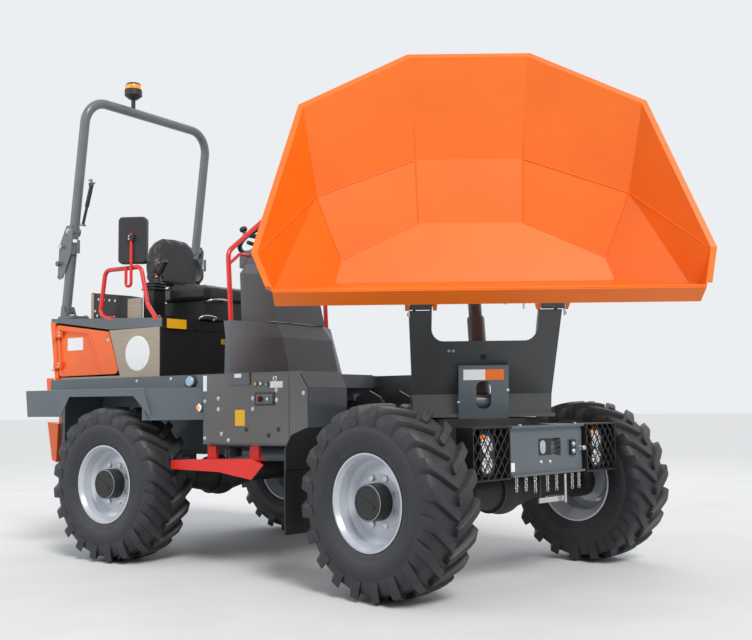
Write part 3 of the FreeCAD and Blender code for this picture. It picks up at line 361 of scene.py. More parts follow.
# Wheels: a round carcass with chevron lugs, and the rim's bolts
TYRE_PROFILE = [
    # y, radius
    (-112, 203), (-124, 214), (-131, 226), (-136, 240), (-140, 256),
    (-141.5, 258), (-141.5, 262), (-142.5, 264), (-144, 290), (-144.8, 320),
    (-143.5, 322), (-143.5, 326), (-143.8, 330), (-141, 352), (-136, 370),
    (-126, 383), (-110, 391), (-80, 396), (-40, 398), (0, 398.5),
]


def tyre_mesh(bm, seg=120, lugs=20):
    """A round carcass and two rows of lugs, the left row half a step behind the right one."""
    profile = TYRE_PROFILE + [(-y, r) for y, r in reversed(TYRE_PROFILE[:-1])]
    rings = []
    for i in range(seg):
        a = 2 * math.pi * i / seg
        rings.append([bm.verts.new((r * math.cos(a), y, r * math.sin(a))) for y, r in profile])
    for i in range(seg):
        p, q = rings[i], rings[(i + 1) % seg]
        for j in range(len(profile)):
            k = (j + 1) % len(profile)
            bm.faces.new([p[j], p[k], q[k], q[j]])
    pitch = 2 * math.pi / lugs
    sections = [
        # share of the way out, y, base radius, top radius, half width in degrees
        (0.00, -3.0, 392, 420.0, 2.2),
        (0.03, 1.0, 392, 422.3, 2.7),
        (0.25, 34, 392, 422.3, 2.8),
        (0.50, 70, 390, 421.0, 3.0),
        (0.75, 106, 383, 418.0, 3.2),
        (0.93, 132, 368, 413.5, 3.5),
        (0.98, 140, 352, 408.0, 3.6),
        (1.05, 146.5, 340, 372.0, 3.7),
        (1.09, 145.5, 330, 340.0, 3.4),
    ]
    for n in range(lugs):
        for side, start in ((1, n * pitch), (-1, (n + 0.5) * pitch)):
            rows = []
            for t, y, low, high, half in sections:
                a = start + math.radians(3 + 15 * t ** 1.15)
                h = math.radians(half)
                chamfer = 3.0 if high - low > 20 else 1.0
                pts = [(a - h * 1.22, low), (a - h, high - chamfer), (a - h * 0.86, high),
                       (a + h * 0.86, high), (a + h, high - chamfer), (a + h * 1.22, low)]
                rows.append([bm.verts.new((r * math.cos(b), side * y, r * math.sin(b))) for b, r in pts])
            for p, q in zip(rows, rows[1:]):
                for k in range(len(p) - 1):
                    bm.faces.new([p[k], p[k + 1], q[k + 1], q[k]])
            bm.faces.new(rows[0])
            bm.faces.new(list(reversed(rows[-1])))


def rim_details(bm):
    """Sleeve, ring of nuts, cap and valve, on the face towards negative y."""
    nut_ring = 107
    lathe(bm, (0, -30, 0), (0, -118, 0), [(92, 0), (92, 7), (84, 11), (81, 16), (80.5, 87)], 48, 2)
    for i in range(8):
        a = 2 * math.pi * (i + 0.5) / 8
        x, z = nut_ring * math.cos(a), nut_ring * math.sin(a)
        bolt(bm, (x, -33, z), (0, -1, 0), 25, 22, 1)
    lathe(bm, (0, -116, 0), (0, -124, 0), [(75, 0), (75, 5), (72, 7.5), (64, 7.5), (62, 6), (0, 6)], 48, 2)
    box(bm, -50, 50, -125, -121.5, -9, 9, Matrix.Rotation(math.radians(25), 4, "Y"), 2, 1.2)
    for i in range(8):
        a = 2 * math.pi * i / 8
        lathe(bm, (68 * math.cos(a), -122, 68 * math.sin(a)), (68 * math.cos(a), -127, 68 * math.sin(a)),
              [(4, 0), (4, 3.5), (3, 4.2)], 6, 2)
    rod(bm, (150, -60, 30), (168, -84, 36), 5, 10, 1)


HALF_TRACK = 0.772
AXLE_HEIGHT = 0.4225
WHEELS = {
    "front_right": (FRONT, 1.022, -1),
    "front_left": (FRONT, 1.022, 1),
    "rear_right": (REAR, -1.040, -1),
    "rear_left": (REAR, -1.040, 1),
}
for name, (base, x, side) in WHEELS.items():
    flip = Matrix.Diagonal((1, -side, 1, 1))
    spot = base @ Matrix.Translation((x, side * HALF_TRACK, AXLE_HEIGHT)) @ flip
    bm = bmesh.new()
    tyre_mesh(bm)
    tyre = finish_mesh("tread_" + name, bm, "wheel_" + name, spot, RUBBER, 40)
    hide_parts("tyre_" + name)
    bm = bmesh.new()
    rim_details(bm)
    finish_mesh("hub_details_" + name, bm, "wheel_" + name, spot, [RIM, ZINC, BLACK], 30)


def mirrored(base, side):
    """The frame itself for side 1 and its mirror image for side -1."""
    return base @ Matrix.Diagonal((1, side, 1, 1))


def piece(name, body, place, mats, shapes, smooth=35):
    """One piece from a list of shapes, each a helper and what it takes."""
    bm = bmesh.new()
    for helper, *values in shapes:
        helper(bm, *values)
    return finish_mesh(name, bm, body, place, mats, smooth)


def label(bm, face, at, x0, x1, z0, z1, mat=0):
    """A thin blank plate on a side or front face, with its place along the face's normal."""
    if face == "y":
        box(bm, x0, x1, at - 0.9, at + 0.1, z0, z1, None, mat)
    else:
        box(bm, at - 0.1, at + 0.9, x0, x1, z0, z1, None, mat)


def band(bm, start, end, r, first, last, mat=0, seg=10):
    """A curved patch on a round post, between two angles in degrees."""
    m, length = along(start, end)
    rows = []
    for h in (0, length):
        angles = [math.radians(first + (last - first) * i / seg) for i in range(seg + 1)]
        rows.append([bm.verts.new(m @ Vector((r * math.cos(a), r * math.sin(a), h))) for a in angles])
    for i in range(seg):
        f = bm.faces.new([rows[0][i], rows[0][i + 1], rows[1][i + 1], rows[1][i]])
        f.material_index = mat


def post_x(z):
    """Where the roll bar's leaning post stands at a height."""
    return -1851 + (z - 1395) * math.tan(math.radians(7.5))


# Side panels: bolts, plugs, pilot lamps, key, switch box and blank plates
OUTWARD = (0, -1, 0)
AHEAD = (1, 0, 0)
UPWARD = (0, 0, 1)
PANEL_FACE = -720
PANEL_BOLTS = [
    (-352, 880), (-352, 824), (-111, 878), (-111, 824), (49, 868), (47, 917), (-329, 696), (-281, 663),
    (222, 690), (222, 900),
]
PLUGS = [(-155, 719), (59, 721), (-6, 691)]
PLUG = [(12, 0), (12, 2.6), (9, 3), (8, 1.5), (0, 1.5)]
PILOT_LAMPS = [
    # x, z, material
    (-89, 952, 4),
    (-54, 953, 5),
    (-14, 947, 6),
]
PILOT_RING = [(12, 0), (12, 3), (8.5, 3.5), (8, 8), (4, 10.5), (0, 11)]
PILOT_GLASS = [(8.6, 0), (8.1, 5.5), (4.3, 8), (0, 8.4)]
ROUND_PLATE = [(101, 0), (101, 1.6), (99, 2.4), (0, 2.4)]
for side, tag in ((1, "right"), (-1, "left")):
    here = mirrored(REAR, side)
    shapes = [(bolt, (x, PANEL_FACE, z), OUTWARD, 14, 6, 1) for x, z in PANEL_BOLTS]
    shapes += [(bolt, (-456, -714, z), OUTWARD, 14, 6, 1) for z in (866, 671)]
    shapes += [(lathe, (x, PANEL_FACE + 1, z), (x, PANEL_FACE - 2, z), PLUG, 24, 0) for x, z in PLUGS]
    shapes += [(box, 127, 130.5, -720.6, -719.5, 668, 996, None, 0)]
    piece("panel_bolts_" + tag, "rear_chassis", here, [PLASTIC, ZINC], shapes)
    switch = [(box, -95, 35, -724, -719.5, 841, 907, None, 0, 2.0),
              (box, -84, 24, -726, -723, 850, 898, None, 1, 1.5),
              (rod, (-58, -725, 874), (-58, -741, 874), 15, 24, 0),
              (box, -62, -54, -749, -740, 862, 886, None, 2, 2.0),
              (rod, (-6, -725, 874), (-6, -733, 874), 9, 20, 3)]
    for x, z, m in PILOT_LAMPS:
        switch.append((lathe, (x, PANEL_FACE + 1, z), (x, PANEL_FACE - 10, z), PILOT_RING, 20, 0))
        switch.append((lathe, (x, -722.6, z), (x, -730, z), PILOT_GLASS, 20, m))
    switch.append((lathe, (42, -719, 975), (42, -724, 975), [(13, 0), (13, 4), (10, 5), (0, 5)], 24, 3))
    switch.append((box, 38, 46, -738, -723, 966, 984, None, 3, 1.5))
    piece("switch_box_" + tag, "rear_chassis", here, [PLASTIC, GREY, RED, ZINC, YELLOW, WHITE, GREEN], switch)
    plates = [(label, "y", PANEL_FACE, 6, 88, 930, 962, 0), (label, "y", -714, -469, -438, 920, 1002, 0),
              (label, "y", PANEL_FACE, -234, -166, 738, 820, 1)]
    piece("blank_plates_" + tag, "rear_chassis", here, [WHITE, YELLOW], plates)
    piece("door_plate_" + tag, "door_" + tag, here, [WHITE],
          [(label, "y", -631, -1699, -1556, 1188, 1264, 0)])
    piece("round_plate_" + tag, "rear_chassis", here, [WHITE],
          [(lathe, (-1066, -639.5, 1148), (-1066, -642, 1148), ROUND_PLATE, 64, 0)], 20)
    lock = [(lathe, (-1326, -633, 1236), (-1326, -641, 1236), [(13, 0), (13, 5), (11, 7), (0, 7)], 28, 0),
            (box, -1332, -1320, -640.8, -639.8, 1234.5, 1237.5, None, 1)]
    for z in (1100, 1290):
        lock += [(bolt, (-1752, -654, z + dz), OUTWARD, 10, 5, 0) for dz in (-8, 10)]
    piece("door_lock_" + tag, "door_" + tag, here, [ZINC, BLACK], lock)
    boot = [(0, 0)]
    for i in range(6):
        boot += [(30, 11 * i), (36, 11 * i + 4), (30, 11 * i + 9)]
    piece("step_boot_" + tag, "rear_chassis", here, [PLASTIC],
          [(lathe, (-295, -650, 575), (-295, -650, 640), boot[:-1] + [(0, 64)], 28, 0),
           (box, -436, -150, -690, -612, 628, 643, None, 0, 2.0)], 50)
    shapes = [(bolt, (x, -700, z), OUTWARD, 12, 5, 0) for x, z in ((-1001, 986), (-728, 992))]
    piece("deck_bolts_" + tag, "rear_chassis", here, [ZINC], shapes)
    filler = [(lathe, (-567, -700, 975), (-567, -716, 975), [(36, 0), (36, 10), (31, 15), (0, 15)], 32, 0),
              (lathe, (-567, -711, 975), (-567, -730, 975), [(28, 0), (28, 9), (25, 13), (0, 13)], 32, 1),
              (box, -604, -590, -714, -700, 950, 1000, None, 0, 2.0)]
    lamp_from, lamp_to = (-503, -706, 834), (-500, -722, 834)
    filler += [(lathe, lamp_from, lamp_to, [(31, 0), (31, 12), (27, 15), (0, 15)], 32, 0),
               (lathe, lamp_from, lamp_to, [(23, 10), (23, 17), (17, 20), (0, 21)], 32, 2),
               (lathe, lamp_from, lamp_to, [(12, 12), (12, 21), (8, 24), (0, 24.5)], 24, 3)]
    piece("filler_" + tag, "rear_chassis", here, [PLASTIC, BLUE, WHITE, AMBER], filler)
    # Tongue of the console, hanging over the panel, with its blank plate
    tongue = [(x, -724, z) for x, z in ((-282, 966), (-270, 950), (-136, 948), (-125, 960), (-132, 1010),
                                        (-268, 1012))]
    piece("console_tongue_" + tag, "rear_chassis", here, [CONSOLE, WHITE],
          [(plate, tongue, 3.0, 0), (label, "y", -727, -232, -184, 986, 1006, 1)])
    # Step: saw teeth along the tread
    teeth = []
    for i in range(26):
        x = -606 + 21 * i
        z = 552 + 18 * (x + 620) / 567
        for y in (-682, -730, -778):
            teeth.append((lathe, (x, y, z - 1), (x, y, z + 6), [(8, 0), (1.6, 7)], 4, 0))
    piece("step_teeth_" + tag, "rear_chassis", here, [STEP_RED], teeth)
    # Side rail feet and the mirror's clamp and glass
    shapes = []
    for x, z in ((-1310, 1374), (-928, 1356)):
        shapes += [(bolt, (x + dx, -620, z - 0.5), UPWARD, 9, 5, 0) for dx in (-18, 18)]
    shapes += [(bolt, (-1128, -657.5, z), OUTWARD, 8, 4, 0) for z in (1817, 1833)]
    piece("rail_bolts_" + tag, "rear_chassis", here, [ZINC], shapes)
    turn = math.radians(30)
    reach = 0.0373
    glass_at = (-1.128 - reach * math.sin(turn), 0.638 - reach * math.cos(turn), 1.815)
    glass_place = mirrored(REAR, -side) @ Matrix.Translation(glass_at) @ Matrix.Rotation(-turn, 4, "Z")
    piece("mirror_glass_" + tag, "rear_chassis", glass_place, [MIRROR],
          [(plate, [(x, -27.9, z) for x, z in rounded(0, 0, 140, 250, 18)], 1.2, 0)], 20)
    # Roll bar: labels, latch pins, hinge bolts, the strut and its bracket
    base_shapes = [(band, (post_x(1420), -532, 1420), (post_x(1512), -532, 1512), 30.5, 70, 112, 1),
                   (rod, (-1855, -560, 1743), (-1855, -592, 1743), 11, 24, 0),
                   (lathe, (-1855, -590, 1743), (-1855, -604, 1743),
                    [(15, 0), (17, 3), (17, 9), (13, 13), (0, 13)], 28, 0),
                   (rod, (-1832, -560, 1850), (-1832, -592, 1850), 8, 20, 2),
                   (lathe, (-1832, -590, 1850), (-1832, -604, 1850),
                    [(13, 0), (15, 3), (15, 8), (11, 12), (0, 12)], 28, 2),
                   (bolt, (-1778.5, -576, 1945), OUTWARD, 24, 12, 2),
                   (lathe, (-1873, -576, 1662), (-1873, -577, 1662), [(7, 0), (7, 0.8)], 20, 3),
                   (box, -1716, -1700, -560, -548, 1800, 1884, None, 0, 1.5)]
    base_shapes += [(bolt, (x, y, 1408), UPWARD, 17, 9, 2) for x in (-1716, -1730) for y in (-582, -482)]
    piece("roll_bar_fittings_" + tag, "rear_chassis", here, [GREY, YELLOW, ZINC, BLACK], base_shapes)
    lower, upper = Vector((post_x(2060), -532, 2060)), Vector((post_x(2118), -532, 2118))
    hoop_shapes = [(band, lower, upper, 30.5, 60, 118, 1)]
    if side == 1:
        hoop_shapes += [(rod, (-1735, -500, 1990), (-1650, -500, 2250), 9, 20, 0),
                        (rod, (-1700, -500, 2100), (-1654, -500, 2242), 13, 20, 0),
                        (rod, (-1650, -480, 2250), (-1650, -525, 2250), 8, 16, 2),
                        (box, -1672, -1640, -512, -506, 2230, 2270, None, 3, 2.0),
                        (rod, (-1735, -480, 1990), (-1735, -525, 1990), 8, 16, 2)]
    piece("hoop_fittings_" + tag, "hoop", here, [PLASTIC, YELLOW, ZINC, GREY], hoop_shapes)

piece("beacon_dome", "hoop", REAR, [AMBER],
      [(lathe, (post_x(2782), -155, 2937), (post_x(2782), -155, 2990),
        [(55, 0), (55.2, 12), (54.6, 24), (50, 35), (40, 41), (22, 43.2), (0, 43.6)], 48, 0)], 50)
front_plates = [(box, -869.6, -868.4, -634, 634, 1294, 1342, None, 0),
                (label, "x", -868.4, -600, -448, 1287, 1341, 1),
                (label, "x", -880, -147, -69, 1213, 1245, 1)]
piece("deck_front_strip", "rear_chassis", REAR, [BLACK, YELLOW], front_plates)
FRONT_HANDLE = [(-868, -344, 1352), (-848, -340, 1366), (-846, -283, 1372), (-848, -226, 1366),
                (-868, -222, 1352)]
SEAT_HANDLE = [(-1010, -150, 1476), (-950, -168, 1484), (-938, -90, 1492), (-950, -10, 1490),
               (-1010, -4, 1480)]
handle = [(tube, smooth_path(line, 6), 7, 12, 0) for line in (FRONT_HANDLE, SEAT_HANDLE)]
piece("seat_handles", "rear_chassis", REAR, [ZINC], handle, 60)
SEAT_SHEET_Y = 540
SHEET_HOLES = [(-1530, 1500), (-1480, 1494), (-1430, 1488), (-1380, 1482), (-1560, 1430), (-1540, 1400)]
side_holes = []
for side in (1, -1):
    y = side * SEAT_SHEET_Y
    inner, outer = sorted((y, y + side * 1.2))
    side_holes += [(lathe, (x, y, z), (x, y + side * 0.8, z), [(8, 0), (8, 0.6)], 16, 1) for x,
                   z in SHEET_HOLES]
    side_holes.append((box, -1596, -1572, inner, outer, 1376, 1540, None, 0))
    side_holes.append((box, -1265, -1143, inner, outer, 1352, 1484, None, 0))
piece("side_plate_edges", "rear_chassis", REAR, [STEEL, ZINC], side_holes)

# Console: the driver's display, switches, stalk and the wheel's knob
dials = [(box, -615, -611.5, -150, 150, 1658, 1730, None, 0, 2.0),
         (box, -616.4, -614, -62, 62, 1668, 1722, None, 1, 1.0)]
for i in range(4):
    for s in (1, -1):
        y = s * (82 + 20 * i)
        dials.append((box, -618.5, -614, y - 7, y + 7, 1678, 1712, None, 2, 1.5))
dials += [(rod, (-585, 30, 1775), (-600, 205, 1800), 6, 16, 0),
          (rod, (-597, 160, 1794), (-602, 220, 1803), 12, 20, 0),
          (rod, (-585, -30, 1775), (-600, -200, 1796), 6, 16, 0),
          (rod, (-597, -150, 1790), (-602, -216, 1799), 12, 20, 0)]
piece("dash_controls", "rear_chassis", REAR, [PLASTIC, SCREEN, BLACK], dials)
KNOB_AT = Vector((-648, -178, 1842))
WHEEL_CENTRE = Vector((-630, 0, 1850))
WHEEL_AXIS = Vector((-math.sin(math.radians(25)), 0, math.cos(math.radians(25))))
KNOB_SHAPE = [(17, 6), (17, 16), (10, 20), (9, 34), (20, 40), (24, 50), (22, 60), (12, 66), (0, 67)]
HUB_COVER = [(46, 10), (46, 17), (38, 22), (0, 24)]
piece("wheel_knob", "rear_chassis", REAR, [PLASTIC],
      [(lathe, KNOB_AT, KNOB_AT + WHEEL_AXIS, KNOB_SHAPE, 32, 0),
       (lathe, WHEEL_CENTRE, WHEEL_CENTRE + WHEEL_AXIS, HUB_COVER, 40, 0)], 50)
THUMB_PAD = [(20, -8), (22, 6), (16, 16), (0, 19)]
grip_side = [(lathe, (-1215, -298, 1722), (-1245, -298, 1765), THUMB_PAD, 28, 0),
             (rod, (-1232, -318, 1722), (-1228, -327, 1722), 6, 16, 1),
             (rod, (-1258, -318, 1640), (-1254, -326, 1640), 5, 16, 2)]
for z, r in ((1600, 50), (1582, 54), (1564, 57)):
    ring = [(-1300 + x, -298 + y, z) for x, y in rounded(0, 0, 2 * r, 2 * r, 16)]
    grip_side.append((tube, ring, 5, 10, 0, True))
piece("joystick_grip", "rear_chassis", REAR, [PLASTIC, RED, AMBER], grip_side, 50)

# Front frame: hose, bumper fittings, lamps and hanging chains
NECK_HOSE = [(60, -128, 740), (90, -170, 770), (150, -190, 770), (200, -170, 740), (240, -135, 700)]
hose_path = smooth_path(NECK_HOSE, 8)
piece("neck_hoses", "front_chassis", FRONT, [HOSE, RUBBER, ZINC],
      [(tube, hose_path, 13, 16, 0), (tube, [p + Vector((26, 8, -34)) for p in hose_path], 10, 16, 1),
       (rod, hose_path[-1], hose_path[-1] + Vector((22, 14, -26)), 16, 6, 2),
       (rod, hose_path[0], hose_path[0] + Vector((-18, 12, -18)), 16, 6, 2)], 60)
BUMPER_FACE = 1318
KNOB = [(13, 0), (13, 4), (8, 6), (8, 14), (12, 18), (12, 26), (9, 30), (0, 30)]
CHAIN_TOP = 508
jaw = [(1319, y, z) for y, z in rounded(-40, 633, 42, 62, 20)]
fittings = [(label, "x", BUMPER_FACE, -67, 30, 595, 672, 1), (plate, jaw, 4.0, 2),
            (box, BUMPER_FACE, 1328, 179, 224, 586, 660, None, 1, 2.0),
            (bolt, (1328, 202, 606), AHEAD, 15, 7, 2), (bolt, (1328, 202, 640), AHEAD, 15, 7, 2),
            (lathe, (BUMPER_FACE, 270, 619), (1350, 270, 619), KNOB, 28, 2),
            (rod, (1326, 126, 502), (1326, 126, 367), 7, 20, 2),
            (box, 1304, 1312, -63, 159, 374, 398, None, 2, 1.5),
            (box, 1302, 1309, -50, -42, 396, 506, None, 0)]
for z in (596, 614, 641, 660):
    fittings.append((plate, [(1318.2, a, b) for a, b in rounded(92, z, 34, 13, 6)], 0.9, 1))
fittings += [(bolt, (1327, y, 735), UPWARD, 15, 8, 2) for y in (-217, 217)]
fittings += [(bolt, (BUMPER_FACE, y, z), AHEAD, 12, 6, 2) for y, z in ((-50, 564), (21, 563))]
fittings += [(label, "x", BUMPER_FACE, -283, -250, 530, 570, 3)]
piece("bumper_fittings", "front_chassis", FRONT, [CAST, BLACK, ZINC, WHITE], fittings)


def chain(bm, x, y, top, links, mat=0):
    """A short hanging chain of oval links, each turned a quarter against the last."""
    for i in range(links):
        mid = top - 13 * (i + 0.5)
        ring = []
        for k in range(14):
            a = 2 * math.pi * k / 14
            across, down = 7 * math.cos(a), 9.5 * math.sin(a)
            ring.append((x + across, y, mid + down) if i % 2 else (x, y + across, mid + down))
        tube(bm, ring, 2.0, 8, mat, True)


piece("bumper_chains", "front_chassis", FRONT, [ZINC],
      [(chain, 1326, y, CHAIN_TOP, 6) for y in (-110, -15, 57, 185, 241)]
      + [(chain, 1326, y, CHAIN_TOP, 5) for y in (-180, -250)], 60)
GUARD_BOLTS = [(640, 700), (740, 690), (640, 590), (840, 590)]
for side, tag in ((1, "left"), (-1, "right")):
    mid = side * 430
    lens = [(plate, [(1306.2, mid + y, z) for y, z in rounded(0, 613, 104, 194, 44)], 2.0, 0)]
    for dz, r in ((42, 42), (-44, 40)):
        z = 613 + dz
        bowl = [(r + 3, 0), (r + 3, 3), (r, 4), (r * 0.86, 8), (r * 0.5, 11), (0, 12)]
        lens.append((lathe, (1307, mid, z), (1330, mid, z), bowl, 36, 1))
    side_light = [(12, 0), (12, 4), (8, 7), (0, 8)]
    lens.append((lathe, (1307, mid - 34, 692), (1330, mid - 34, 692), side_light, 24, 2))
    piece("lamp_lens_" + tag, "front_chassis", FRONT, [PLASTIC, CLEAR, AMBER], lens, 40)
    edge = [(bolt, (1288, side * y, z), AHEAD, 15, 7, 0) for y, z in ((292, 615), (292, 645))]
    edge += [(bolt, (465.2, side * y, z), (-1, 0, 0), 15, 7, 0) for y, z in GUARD_BOLTS]
    piece("guard_bolts_" + tag, "front_chassis", FRONT, [ZINC], edge)

# Tower: screws, ring, blank plates and bolts on the cover, pin caps, wire loop and hoses
LEANING = TOWER @ Matrix.Translation((0.190, 0, 0.884)) @ Matrix.Rotation(math.atan2(228, 381), 4, "Y")
face_shapes = [(bolt, (0, y, 236), AHEAD, 10, 5, 0) for y in (-164, -143)]
GROMMET = [(17, 0), (17, 2), (15, 3), (12, 3), (11, 1.4), (0, 1.4)]
face_shapes += [(lathe, (-1, 0, 203), (6, 0, 203), GROMMET, 32, 1)]
piece("tower_screws", "tower", LEANING, [ZINC, BLACK], face_shapes)
COVER = TOWER @ Matrix.Translation((0.244, 0, 0.768)) @ Matrix.Rotation(math.atan2(54, 239), 4, "Y")
cover_shapes = [(label, "x", 0, -96, 7, 186, 236, 1), (label, "x", 0, 7, 95, 186, 236, 2)]
cover_shapes += [(bolt, (0, y, s), AHEAD, 9, 4, 0) for y, s in ((-119, 78), (115, 136))]
cover_shapes += [(tube, [(-3, y, s) for y, s in rounded(0, 112, 72, 134, 32)], 2.2, 8, 3, True)]
piece("cover_fittings", "tower", COVER, [ZINC, WHITE, ORANGE, BLACK], cover_shapes)
for side, tag in ((1, "left"), (-1, "right")):
    here = mirrored(TOWER, side)
    top = [(lathe, (470, 352, 1305), (470, 362, 1305), [(40, 0), (40, 5), (36, 8), (0, 8)], 36, 0),
           (bolt, (470, 362, 1305), (0, 1, 0), 19, 9), (box, 462, 478, 352, 358, 1235, 1300, None, 0, 1.5),
           (bolt, (470, 358, 1246), (0, 1, 0), 13, 6)]
    piece("tip_pin_cap_" + tag, "tower", here, [ZINC], top)
HOSE_LINE = [(150, 1, 800), (120, 1.02, 846), (60, 1.05, 846), (0, 1.08, 822), (-60, 1.1, 802)]
WIRE_LINE = [(432, 92, 1293), (452, 96, 1328), (448, 134, 1340), (440, 172, 1318), (424, 176, 1272)]
hoses = [(tube, smooth_path([(x, y * share, z) for x, share, z in HOSE_LINE], 8), 8, 12, 0)
         for y in (-150, -128, 128, 150)]
hoses.append((tube, smooth_path(WIRE_LINE, 8), 4, 10, 1))
piece("tower_hoses", "tower", TOWER, [RUBBER, ZINC], hoses, 60)

# Skip: welds along the folds
FOLDS = {
    "floor_rear": (-750, 277, -354),
    "floor_mid": (-510, 683, -354),
    "floor_front": (-367, 711, -354),
    "crease_rear": (-1053, 285.5, -193),
    "crease_side": (-788, 805.5, -171),
    "rear_rim": (-1464, 307, 136),
    "mid_rim": (-1127, 862, 117),
    "front_rim": (-238, 1053, 66),
}
SEAMS = [
    ("floor_rear", "floor_mid"),
    ("floor_mid", "floor_front"),
    ("floor_rear", "crease_rear"),
    ("floor_mid", "crease_side"),
    ("crease_rear", "rear_rim"),
    ("crease_rear", "crease_side"),
    ("crease_side", "mid_rim"),
    ("crease_side", "front_rim"),
]
welds = []
for a, b in SEAMS:
    for s in (1, -1):
        p, q = [Vector((FOLDS[n][0], s * FOLDS[n][1], FOLDS[n][2])) for n in (a, b)]
        middle = Vector((-600, 0, 0))
        p, q = p + (middle - p).normalized() * 1.5, q + (middle - q).normalized() * 1.5
        welds.append((tube, [p.lerp(q, i / 12) for i in range(13)], 3.2, 8, 0))
piece("skip_welds", "skip", SKIP, [ORANGE], welds, 60)


# Seat: padded cover on the cushion and the backrest, with piping
VOXEL = 0.007
SWELL_FRAMES = 20


def swell(ob, cap, pressure=4.0):
    """Remesh evenly, let the cover swell under pressure, and keep each point within the cap."""
    even = ob.modifiers.new("even", "REMESH")
    even.mode = "VOXEL"
    even.voxel_size = VOXEL
    graph = bpy.context.evaluated_depsgraph_get()
    ob.data = bpy.data.meshes.new_from_object(ob.evaluated_get(graph))
    ob.modifiers.clear()
    start = [v.co.copy() for v in ob.data.vertices]
    cloth = ob.modifiers.new("cover", "CLOTH")
    cloth.settings.use_pressure = True
    cloth.settings.uniform_pressure_force = pressure
    cloth.settings.effector_weights.gravity = 0
    cloth.point_cache.frame_start = 1
    cloth.point_cache.frame_end = SWELL_FRAMES
    for f in range(1, SWELL_FRAMES + 1):
        bpy.context.scene.frame_set(f)
    grown = ob.evaluated_get(bpy.context.evaluated_depsgraph_get())
    moved = [v.co.copy() for v in grown.data.vertices]
    ob.modifiers.clear()
    for v, a, b in zip(ob.data.vertices, start, moved):
        step = b - a
        if step.length > cap:
            step = step * (cap / step.length)
        v.co = a + step
    bpy.context.scene.frame_set(1)
    fine = ob.modifiers.new("fine", "SUBSURF")
    fine.levels = 1
    fine.render_levels = 1
    ob.data = bpy.data.meshes.new_from_object(ob.evaluated_get(bpy.context.evaluated_depsgraph_get()))
    ob.modifiers.clear()
    ob.data.shade_smooth()


def block(bm, outline, levels):
    """A closed body from one outline of flat pairs, drawn in by a share at each level."""
    cx = sum(p[0] for p in outline) / len(outline)
    cy = sum(p[1] for p in outline) / len(outline)
    rings = [[bm.verts.new((cx + (x - cx) * k, cy + (y - cy) * k, z)) for x, y in outline] for z, k in levels]
    for p, q in zip(rings, rings[1:]):
        for i in range(len(p)):
            j = (i + 1) % len(p)
            bm.faces.new([p[i], p[j], q[j], q[i]])
    bm.faces.new(list(reversed(rings[0])))
    bm.faces.new(rings[-1])


CUSHION = [
    (-1360, -180), (-1250, -228), (-1030, -230), (-975, -205), (-964, -150),
    (-964, 150), (-975, 205), (-1030, 230), (-1250, 228), (-1360, 180),
]
CUSHION_LEVELS = [(1497, 0.95), (1506, 1.0), (1556, 1.0), (1570, 0.97), (1576, 0.90)]
SWELL_CAP = 0.010
bm = bmesh.new()
block(bm, CUSHION, CUSHION_LEVELS)
for s in (1, -1):
    bolster = [(-1330, s * 160, 1562), (-1250, s * 188, 1566), (-1080, s * 192, 1564), (-1000, s * 182, 1552)]
    tube(bm, smooth_path(bolster, 8), 22, 16)
cushion = finish_mesh("seat_cushion_cover", bm, "rear_chassis", REAR, [LEATHER], 180)
swell(cushion, SWELL_CAP)
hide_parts("seat_cushion")

RECLINE = Matrix.Rotation(math.radians(-6), 4, "Y")
BACK_FOOT = Matrix.Translation((-1.425, 0, 1.590))
BACK_FRAME = REAR @ BACK_FOOT @ RECLINE @ BACK_FOOT.inverted()
BACK = [
    (-196, 1602), (-226, 1655), (-226, 1762), (-188, 1864), (-150, 1905), (-100, 1934), (0, 1940),
    (100, 1934), (150, 1905), (188, 1864), (226, 1762), (226, 1655), (196, 1602),
]
BACK_LEVELS = [(-1460, 0.93), (-1452, 0.985), (-1412, 1.0), (-1398, 0.985), (-1392, 0.94)]
bm = bmesh.new()
block(bm, BACK, BACK_LEVELS)
upright = Matrix(((0, 0, 1, 0), (1, 0, 0, 0), (0, 1, 0, 0), (0, 0, 0, 1)))
bmesh.ops.transform(bm, matrix=upright, verts=bm.verts)
for s in (1, -1):
    bolster = [(-1398, s * 168, 1650), (-1386, s * 196, 1690), (-1386, s * 196, 1756), (-1398, s * 168, 1820)]
    tube(bm, smooth_path(bolster, 8), 24, 16)
backrest = finish_mesh("seat_backrest_cover", bm, "rear_chassis", BACK_FRAME, [LEATHER], 180)
swell(backrest, SWELL_CAP)
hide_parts("seat_backrest")


def piping(name, target, frame_of, lines, direction, r=2.2):
    """Cord sewn on the cover: each line is laid on the cover's surface along a direction."""
    bm = bmesh.new()
    to_world = frame_of @ MM
    back = to_world.inverted()
    way = (frame_of.to_3x3() @ Vector(direction)).normalized()
    for line in lines:
        pts = []
        for p in smooth_path(line, 6):
            hit, spot, normal, face = target.ray_cast(to_world @ p, way)
            if hit:
                pts.append(back @ (spot - normal * 0.0006))
        if len(pts) > 3:
            tube(bm, pts, r, 8)
    return finish_mesh(name, bm, "rear_chassis", frame_of, [SEAM], 180)


STITCH_TOP = 1700
STITCH_FRONT = -1200
BACK_LINE = [(120, 1630), (146, 1680), (150, 1740), (136, 1810), (100, 1862)]
cushion_lines = [[(x, s * 148, STITCH_TOP) for x in range(-1340, -985, 24)] for s in (1, -1)]
cushion_lines += [[(x, y, STITCH_TOP) for y in range(-140, 141, 20)] for x in (-1240, -1120)]
piping("cushion_piping", cushion, REAR, cushion_lines, (0, 0, -1))
back_lines = [[(STITCH_FRONT, s * y, z) for y, z in BACK_LINE] for s in (1, -1)]
back_lines += [[(STITCH_FRONT, y, 1862) for y in range(-98, 99, 14)]]
piping("backrest_piping", backrest, BACK_FRAME, back_lines, (-1, 0, 0))

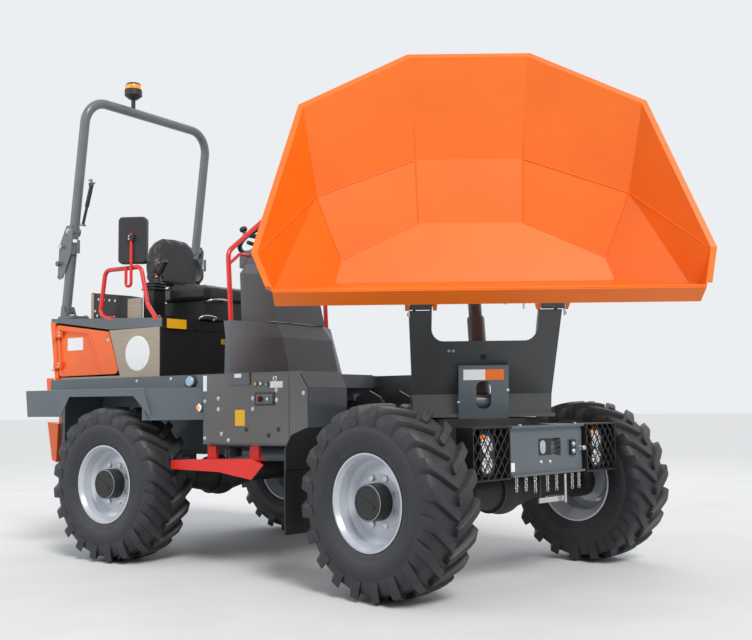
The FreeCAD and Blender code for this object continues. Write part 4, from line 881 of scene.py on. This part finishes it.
# Stage, lamps and sky
bpy.ops.mesh.primitive_plane_add(size=120, location=(0, 0, 0))
floor = bpy.context.object
floor.name = "floor"
floor_mat = material("floor", (0.80, 0.80, 0.79), 0.7, mottle=0.03, mottle_scale=2)
floor.data.materials.append(floor_mat)

world = bpy.data.worlds.new("sky")
bpy.context.scene.world = world
world.use_nodes = True
wn = world.node_tree
bg = wn.nodes["Background"]
bg.inputs["Color"].default_value = (0.82, 0.87, 0.94, 1)
bg.inputs["Strength"].default_value = 0.56
seen = wn.nodes.new("ShaderNodeBackground")
seen.inputs["Color"].default_value = (0.84, 0.86, 0.88, 1)
seen.inputs["Strength"].default_value = 1.0
path = wn.nodes.new("ShaderNodeLightPath")
last = path.outputs["Is Camera Ray"]
for kind in ("Is Glossy Ray", "Is Transmission Ray"):
    either = wn.nodes.new("ShaderNodeMath")
    either.operation = "MAXIMUM"
    wn.links.new(last, either.inputs[0])
    wn.links.new(path.outputs[kind], either.inputs[1])
    last = either.outputs[0]
mix = wn.nodes.new("ShaderNodeMixShader")
wn.links.new(last, mix.inputs["Fac"])
wn.links.new(bg.outputs[0], mix.inputs[1])
wn.links.new(seen.outputs[0], mix.inputs[2])
wn.links.new(mix.outputs[0], wn.nodes["World Output"].inputs["Surface"])


def lamp(name, at, target, size, power, colour=(1, 1, 1)):
    data = bpy.data.lights.new(name, "AREA")
    data.shape = "SQUARE"
    data.size = size
    data.energy = power
    data.color = colour
    ob = bpy.data.objects.new(name, data)
    bpy.context.scene.collection.objects.link(ob)
    ob.location = at
    ob.rotation_euler = (Vector(target) - Vector(at)).to_track_quat("-Z", "Y").to_euler()


SUN_AT = (6.0, -4.0, 7.5)
SUN_TARGET = (0.3, 0, 1.0)
WARM = (1.0, 0.98, 0.95)
COOL = (0.95, 0.97, 1.0)
sun = bpy.data.objects.new("sun", bpy.data.lights.new("sun", "SUN"))
bpy.context.scene.collection.objects.link(sun)
sun.data.energy = 2.0
sun.data.angle = math.radians(18)
sun.data.color = WARM
sun.rotation_euler = (Vector(SUN_TARGET) - Vector(SUN_AT)).to_track_quat("-Z", "Y").to_euler()
lamp("key", SUN_AT, SUN_TARGET, 4.0, 70, WARM)
lamp("fill", (-4.5, -6.5, 4.0), (-0.4, 0, 1.0), 5.0, 110, COOL)
lamp("back", (-3.0, 6.0, 6.0), (0, 0, 1.2), 4.0, 90)
bpy.context.scene.view_settings.view_transform = "Standard"
